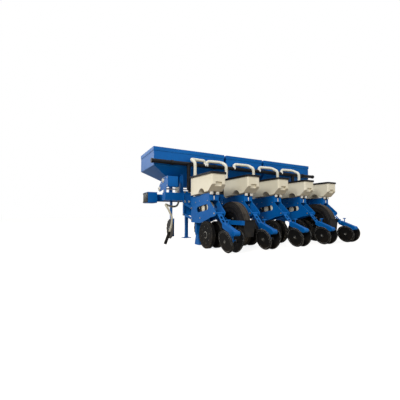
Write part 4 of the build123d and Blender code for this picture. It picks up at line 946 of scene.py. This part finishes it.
for row, x in enumerate(ROWS, 1):
    catch = bmesh.new()
    set_blocks(catch, x, CATCH_BLOCKS)
    lathe(catch, CATCH_PIN, at(x, CATCH_PIN_Y, CATCH_PIN_Z), (1, 0, 0), segments=14)
    finished(catch, f"hopper_catch_{row}", FINISHES["black_plastic"], "machine")
    clip = bmesh.new()
    set_blocks(clip, x, CLIP_BLOCKS)
    finished(clip, f"hopper_clip_{row}", FINISHES["white_plastic"], "machine")
    panels = bmesh.new()
    set_blocks(panels, x, LID_PANEL_BLOCKS)
    finished(panels, f"hopper_lid_panels_{row}", FINISHES["black_plastic"], f"hopper_lid_{row}")
    feet = bmesh.new()
    for side in SIDES:
        set_blocks(feet, x + side * FOOT_OUT, FOOT_BLOCKS)
    finished(feet, f"hopper_foot_caps_{row}", FINISHES["white_plastic"], "machine")
    rings = bmesh.new()
    for side in SIDES:
        outwards = (side, 0, 0)
        face = at(x + side * METER_OUT, METER_Y, METER_Z)
        lathe(rings, METER_COVER, face, outwards, METER_SEGMENTS, closed=True)
        fasten_ring("machine", face, outwards, METER_BOLT_CIRCLE, METER_BOLTS, METER_BOLT_SIZE)
        for y, z, size in BODY_BOLTS:
            fasten("machine", at(x + side * BODY_OUT, y, z), outwards, size)
        for out, y, z in LINK_PINS:
            fasten("machine", at(x + side * out, y, z), outwards, LINK_PIN_SIZE)
        for z in HEAD_BOLTS_Z:
            fasten("machine", at(x + side * HEAD_BOLT_OUT, HEAD_BOLT_Y, z), (0, -1, 0), HEAD_BOLT_SIZE)
    finished(rings, f"meter_cover_{row}", FINISHES["black_plastic"], "machine")
    fasten_ring("machine", at(x - DISC_HUB_OUT, DISC_HUB_Y, DISC_HUB_Z), (-1, 0, 0), DISC_BOLT_CIRCLE,
                DISC_BOLTS, DISC_BOLT_SIZE)

# U-bolts that clamp the head brackets round the toolbar, where the posts leave room
POSTS_X = (-1380, -700, 0, 700, 1380)
POST_ROOM = 40
U_BOLT_REAR_Y = 222
U_BOLT_FRONT_Y = 392
U_BOLT_TOP_Z = 912
U_BOLT_LOW_Z = 748
U_BOLT_BEND = 0.018

u_bolts = []
for x in ROWS:
    for side in SIDES:
        place = x + side * HEAD_BOLT_OUT
        if min(abs(place - post) for post in POSTS_X) < POST_ROOM:
            continue
        route = [
            at(place, U_BOLT_REAR_Y, U_BOLT_TOP_Z), at(place, U_BOLT_FRONT_Y, U_BOLT_TOP_Z),
            at(place, U_BOLT_FRONT_Y, U_BOLT_LOW_Z), at(place, U_BOLT_REAR_Y, U_BOLT_LOW_Z),
        ]
        u_bolts.append((route, (U_BOLT_BEND, U_BOLT_BEND)))
rods = grown("toolbar_u_bolts", line_mesh("u_bolt_lines", u_bolts), HOSES, Radius=0.008, Rib_Depth=0.0,
             Rib_Pitch=0.03, Cuff_Length=0.0, Sides=12, Finish=FINISHES["zinc_plate"])
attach(rods, "machine")

# Drive end: flanged bearings and a stub shaft on the side plate, dark end of the chain case
LEFTWARDS = (-1, 0, 0)
DRIVE_PLATE_X = -1704
STUB_SHAFT_AT = (382, 1129)
BEARINGS_AT = ((588.5, 998), STUB_SHAFT_AT)
BEARING = [(14, 0), (46, 0), (46, 6), (34, 9), (30, 20), (24, 24), (14, 24)]
BEARING_FLANGE = 6
BEARING_BOLTS = 4
BEARING_BOLT_CIRCLE = 39
BEARING_BOLT_SIZE = 0.8
STUB_SHAFT = [(0, 0), (13.5, 0), (13.5, 30), (11.5, 32), (0, 32)]
CASE_END_BLOCKS = (
    ((-1908, 693, 733), (-1900.2, 1007, 927), 3.0),
    ((-1916, 735, 775), (-1907, 965, 885), 4.0),
)
CASE_END_X = -1908
CASE_BOLTS_Y = (708, 850, 992)
CASE_BOLTS_Z = (748, 912)
DRIVE_PLATE_BOLTS = ((172, 1020), (172, 1165), (300, 1160), (480, 1075), (330, 925))
DRIVE_BOLT_SIZE = 0.9

bearings = bmesh.new()
for y, z in BEARINGS_AT:
    face = at(DRIVE_PLATE_X, y, z)
    lathe(bearings, BEARING, face, LEFTWARDS, segments=40, closed=True)
    fasten_ring("machine", face + at(-BEARING_FLANGE, 0, 0), LEFTWARDS, BEARING_BOLT_CIRCLE, BEARING_BOLTS,
                BEARING_BOLT_SIZE, start=pi / 4)
finished(bearings, "drive_bearings", FINISHES["white_plastic"], "machine")
stub = bmesh.new()
lathe(stub, STUB_SHAFT, at(DRIVE_PLATE_X, *STUB_SHAFT_AT), LEFTWARDS, segments=24)
finished(stub, "drive_stub_shaft", FINISHES["zinc_plate"], "machine")
case_end = bmesh.new()
set_blocks(case_end, 0, CASE_END_BLOCKS)
finished(case_end, "chain_case_end", FINISHES["dark_grey_paint"], "machine")
for y in CASE_BOLTS_Y:
    for z in CASE_BOLTS_Z:
        fasten("machine", at(CASE_END_X, y, z), LEFTWARDS, DRIVE_BOLT_SIZE, "black_paint")
for y, z in DRIVE_PLATE_BOLTS:
    fasten("machine", at(DRIVE_PLATE_X, y, z), LEFTWARDS, DRIVE_BOLT_SIZE)

# Manifold: clamp bolts, end caps and the pale fittings under the hoses
MANIFOLD_END_X = 2027
MANIFOLD_CAP = [(36.3, 0), (41, 0), (41, -28), (39, -30), (36.3, -30)]
MANIFOLD_BOLTS_X = (1652, 780)
MANIFOLD_BOLT_Y = 43
MANIFOLD_BOLT_SIZE = 1.3
FITTING = [(34.3, -52), (38, -52), (38, -10), (36, -6), (34.3, -6)]

for side in SIDES:
    for x in MANIFOLD_BOLTS_X:
        fasten("machine", at(side * x, MANIFOLD_BOLT_Y, MANIFOLD_Z), (0, -1, 0), MANIFOLD_BOLT_SIZE,
               "black_paint")
    cap = bmesh.new()
    end = at(side * MANIFOLD_END_X, MANIFOLD_Y, MANIFOLD_Z)
    lathe(cap, MANIFOLD_CAP, end, (side, 0, 0), segments=40, closed=True)
    finished(cap, f"manifold_cap_{SIDE_NAMES[side]}", FINISHES["black_plastic"], "machine")
fitting = bmesh.new()
for start in VACUUM_STARTS:
    lathe(fitting, FITTING, at(start, MANIFOLD_Y, VACUUM_START_Z), (0, 0, 1), segments=36, closed=True)
finished(fitting, "manifold_fittings", FINISHES["white_plastic"], "machine")

# Fan, belt guard and stands: bolts on their front faces, those of the fan where the guard leaves room
FORWARDS = (0, 1, 0)
FAN_Z = 1085
FAN_FACE_Y = 1175
FAN_BOLTS = 16
FAN_BOLT_CIRCLE = 222
FAN_BOLT_SIZE = 0.9
FAN_LOWEST_BOLT_Z = 930
GUARD_FACE_Y = 1221
GUARD_BOLTS = (
    (-70, 1085), (70, 1085), (0, 1155), (-62, 860), (62, 860), (-70, 640), (70, 640), (0, 570),
)
GUARD_BOLT_SIZE = 0.8
STAND_X = 975
STAND_FACE_Y = 980
STAND_BOLTS_Z = (790, 870)
STAND_BOLT_SIZE = 1.4

for n in range(FAN_BOLTS):
    angle = 2 * pi * n / FAN_BOLTS
    z = FAN_Z + FAN_BOLT_CIRCLE * sin(angle)
    if z > FAN_LOWEST_BOLT_Z:
        fasten("machine", at(FAN_BOLT_CIRCLE * cos(angle), FAN_FACE_Y, z), FORWARDS, FAN_BOLT_SIZE)
for x, z in GUARD_BOLTS:
    fasten("machine", at(x, GUARD_FACE_Y, z), FORWARDS, GUARD_BOLT_SIZE)
for side in SIDES:
    for z in STAND_BOLTS_Z:
        fasten("machine", at(side * STAND_X, STAND_FACE_Y, z), FORWARDS, STAND_BOLT_SIZE)

# Drive shaft and hitch: splines, lynch pins with their rings
SHAFT_Z = 640
SPLINES = 8
SPLINE_CIRCLE = 16.4
SPLINE_REAR_Y = 1236
SPLINE_FRONT_Y = 1300
HITCH_PIN_X = 482
HITCH_PIN_Y = 1285
HITCH_PIN_Z = 560
LYNCH_PIN = [(0, -24), (4.5, -24), (4.5, 22), (9, 23), (9, 30), (7, 32), (0, 32)]
LYNCH_RING_R = 17
LYNCH_WIRE_R = 2.2
LYNCH_WIRE_SIDES = 8
LYNCH_RING_RISE = 26
LYNCH_RING_LEAN = 0.35

splines = []
for n in range(SPLINES):
    angle = 2 * pi * n / SPLINES
    x = SPLINE_CIRCLE * cos(angle)
    z = SHAFT_Z + SPLINE_CIRCLE * sin(angle)
    splines.append(([at(x, SPLINE_REAR_Y, z), at(x, SPLINE_FRONT_Y, z)], ()))
teeth = grown("drive_shaft_splines", line_mesh("spline_lines", splines), HOSES, Radius=0.0034,
              Rib_Depth=0.0, Rib_Pitch=0.06, Cuff_Length=0.0, Sides=8, Finish=FINISHES["zinc_plate"])
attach(teeth, "machine")
pins = bmesh.new()
wire_angles = [2 * pi * n / LYNCH_WIRE_SIDES for n in range(LYNCH_WIRE_SIDES)]
wire = [(LYNCH_RING_R + LYNCH_WIRE_R * cos(a), LYNCH_WIRE_R * sin(a)) for a in wire_angles]
for side in SIDES:
    tip = at(side * HITCH_PIN_X, HITCH_PIN_Y, HITCH_PIN_Z)
    lathe(pins, LYNCH_PIN, tip, (0, 0, 1), segments=18)
    lean = (side * LYNCH_RING_LEAN, 0, 1)
    lathe(pins, wire, tip + at(0, 0, LYNCH_RING_RISE), lean, segments=28, closed=True)
finished(pins, "hitch_lynch_pins", FINISHES["zinc_plate"], "machine")

for (body, finish), rows in FASTENINGS.items():
    name = f"dark_bolts_{body}" if finish == "black_paint" else f"bolts_{body}"
    bolts = grown(name, points_mesh(f"points_of_{name}", rows), BOLTS, Finish=FINISHES[finish])
    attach(bolts, body)


# Studio: pale floor, white surround, soft light

FLOOR_REACH = 30.0
FLOOR_COLOUR = (0.36, 0.31, 0.24)
FLOOR_GLOW = 0.86
FLOOR_GLOW_COLOUR = (0.965, 0.98, 1.0)
FLOOR_IN_MIRRORS = 0.4
SURROUND_COLOUR = (0.9, 0.95, 1.0)
SURROUND_STRENGTH = 0.42
SURROUND_IN_MIRRORS = 0.6
# Lamps as (name, place, width, watts), all turned to one point
LAMPS = (
    ("key", (-8.5, -5.0, 5.5), 3.0, 560.0),
    ("side", (-6.0, 6.5, 3.2), 2.6, 180.0),
    ("fill", (1.0, -8.0, 3.5), 5.0, 170.0),
    ("top", (0.0, 1.0, 7.5), 6.0, 170.0),
    ("front", (3.5, 8.5, 4.5), 5.0, 210.0),
)
LAMP_AIM = (0, 0, 0.6)


def seen_rays(tree, mirrored_share):
    """How far a ray sees the white surround: camera and clear rays fully, mirrored ones in part."""
    rays = tree.nodes.new("ShaderNodeLightPath")
    mirrored = product(tree, rays.outputs["Is Glossy Ray"], mirrored_share)
    direct = math_node(tree, "ADD", rays.outputs["Is Camera Ray"], rays.outputs["Is Transmission Ray"])
    return math_node(tree, "ADD", direct, mirrored, clamp=True)


def build_floor():
    """A pale floor that shows near white and keeps the object's shadow."""
    mesh = bpy.data.meshes.new("floor")
    corners = [(FLOOR_REACH * x, FLOOR_REACH * y, 0) for x, y in ((-1, -1), (1, -1), (1, 1), (-1, 1))]
    mesh.from_pydata(corners, [], [(0, 1, 2, 3)])
    floor = bpy.data.objects.new("floor", mesh)
    bpy.context.scene.collection.objects.link(floor)
    pale = bpy.data.materials.new("pale_floor")
    pale.use_nodes = True
    tree = pale.node_tree
    shader = tree.nodes["Principled BSDF"]
    shader.inputs["Base Color"].default_value = (*FLOOR_COLOUR, 1)
    shader.inputs["Roughness"].default_value = 0.9
    shader.inputs["Specular IOR Level"].default_value = 0.1
    glow = tree.nodes.new("ShaderNodeEmission")
    glow.inputs["Color"].default_value = (*FLOOR_GLOW_COLOUR, 1)
    link(tree, product(tree, seen_rays(tree, FLOOR_IN_MIRRORS), FLOOR_GLOW), glow.inputs["Strength"])
    both = tree.nodes.new("ShaderNodeAddShader")
    link(tree, shader.outputs[0], both.inputs[0])
    link(tree, glow.outputs[0], both.inputs[1])
    link(tree, both.outputs[0], tree.nodes["Material Output"].inputs["Surface"])
    mesh.materials.append(pale)
    floor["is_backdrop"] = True


def build_surround():
    """A soft surround that shows as plain white."""
    world = bpy.data.worlds.new("studio")
    bpy.context.scene.world = world
    world.use_nodes = True
    tree = world.node_tree
    tree.nodes.clear()
    out = tree.nodes.new("ShaderNodeOutputWorld")
    blend = tree.nodes.new("ShaderNodeMixShader")
    around = tree.nodes.new("ShaderNodeBackground")
    around.inputs["Color"].default_value = (*SURROUND_COLOUR, 1)
    around.inputs["Strength"].default_value = SURROUND_STRENGTH
    white = tree.nodes.new("ShaderNodeBackground")
    white.inputs["Color"].default_value = (1, 1, 1, 1)
    link(tree, seen_rays(tree, SURROUND_IN_MIRRORS), blend.inputs[0])
    link(tree, around.outputs[0], blend.inputs[1])
    link(tree, white.outputs[0], blend.inputs[2])
    link(tree, blend.outputs[0], out.inputs["Surface"])


def build_lamps():
    """Broad soft lamps."""
    for name, place, width, watts in LAMPS:
        lamp = bpy.data.lights.new(name, "AREA")
        lamp.size = width
        lamp.energy = watts
        holder = bpy.data.objects.new(name, lamp)
        holder.location = place
        aim = Vector(LAMP_AIM) - Vector(place)
        holder.rotation_euler = aim.to_track_quat("-Z", "Y").to_euler()
        bpy.context.scene.collection.objects.link(holder)


def build_camera():
    """The photograph's viewpoint."""
    data = bpy.data.cameras.new("camera")
    data.sensor_fit = "HORIZONTAL"
    data.sensor_width = SENSOR_WIDTH
    data.lens = FOCAL_PIXELS / FRAME_PIXELS * SENSOR_WIDTH
    data.clip_end = CAMERA_REACH
    camera = bpy.data.objects.new("camera", data)
    camera.location = CAMERA_PLACE
    level = cos(CAMERA_PITCH)
    look = Vector((sin(CAMERA_YAW) * level, cos(CAMERA_YAW) * level, sin(CAMERA_PITCH)))
    camera.rotation_euler = look.to_track_quat("-Z", "Y").to_euler()
    bpy.context.scene.collection.objects.link(camera)
    bpy.context.scene.camera = camera


build_floor()
build_surround()
build_lamps()
build_camera()
bpy.context.scene.view_settings.view_transform = "Standard"

size = {"cad": [list(v) for v in CAD_BOX], "visual": [list(v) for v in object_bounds()]}
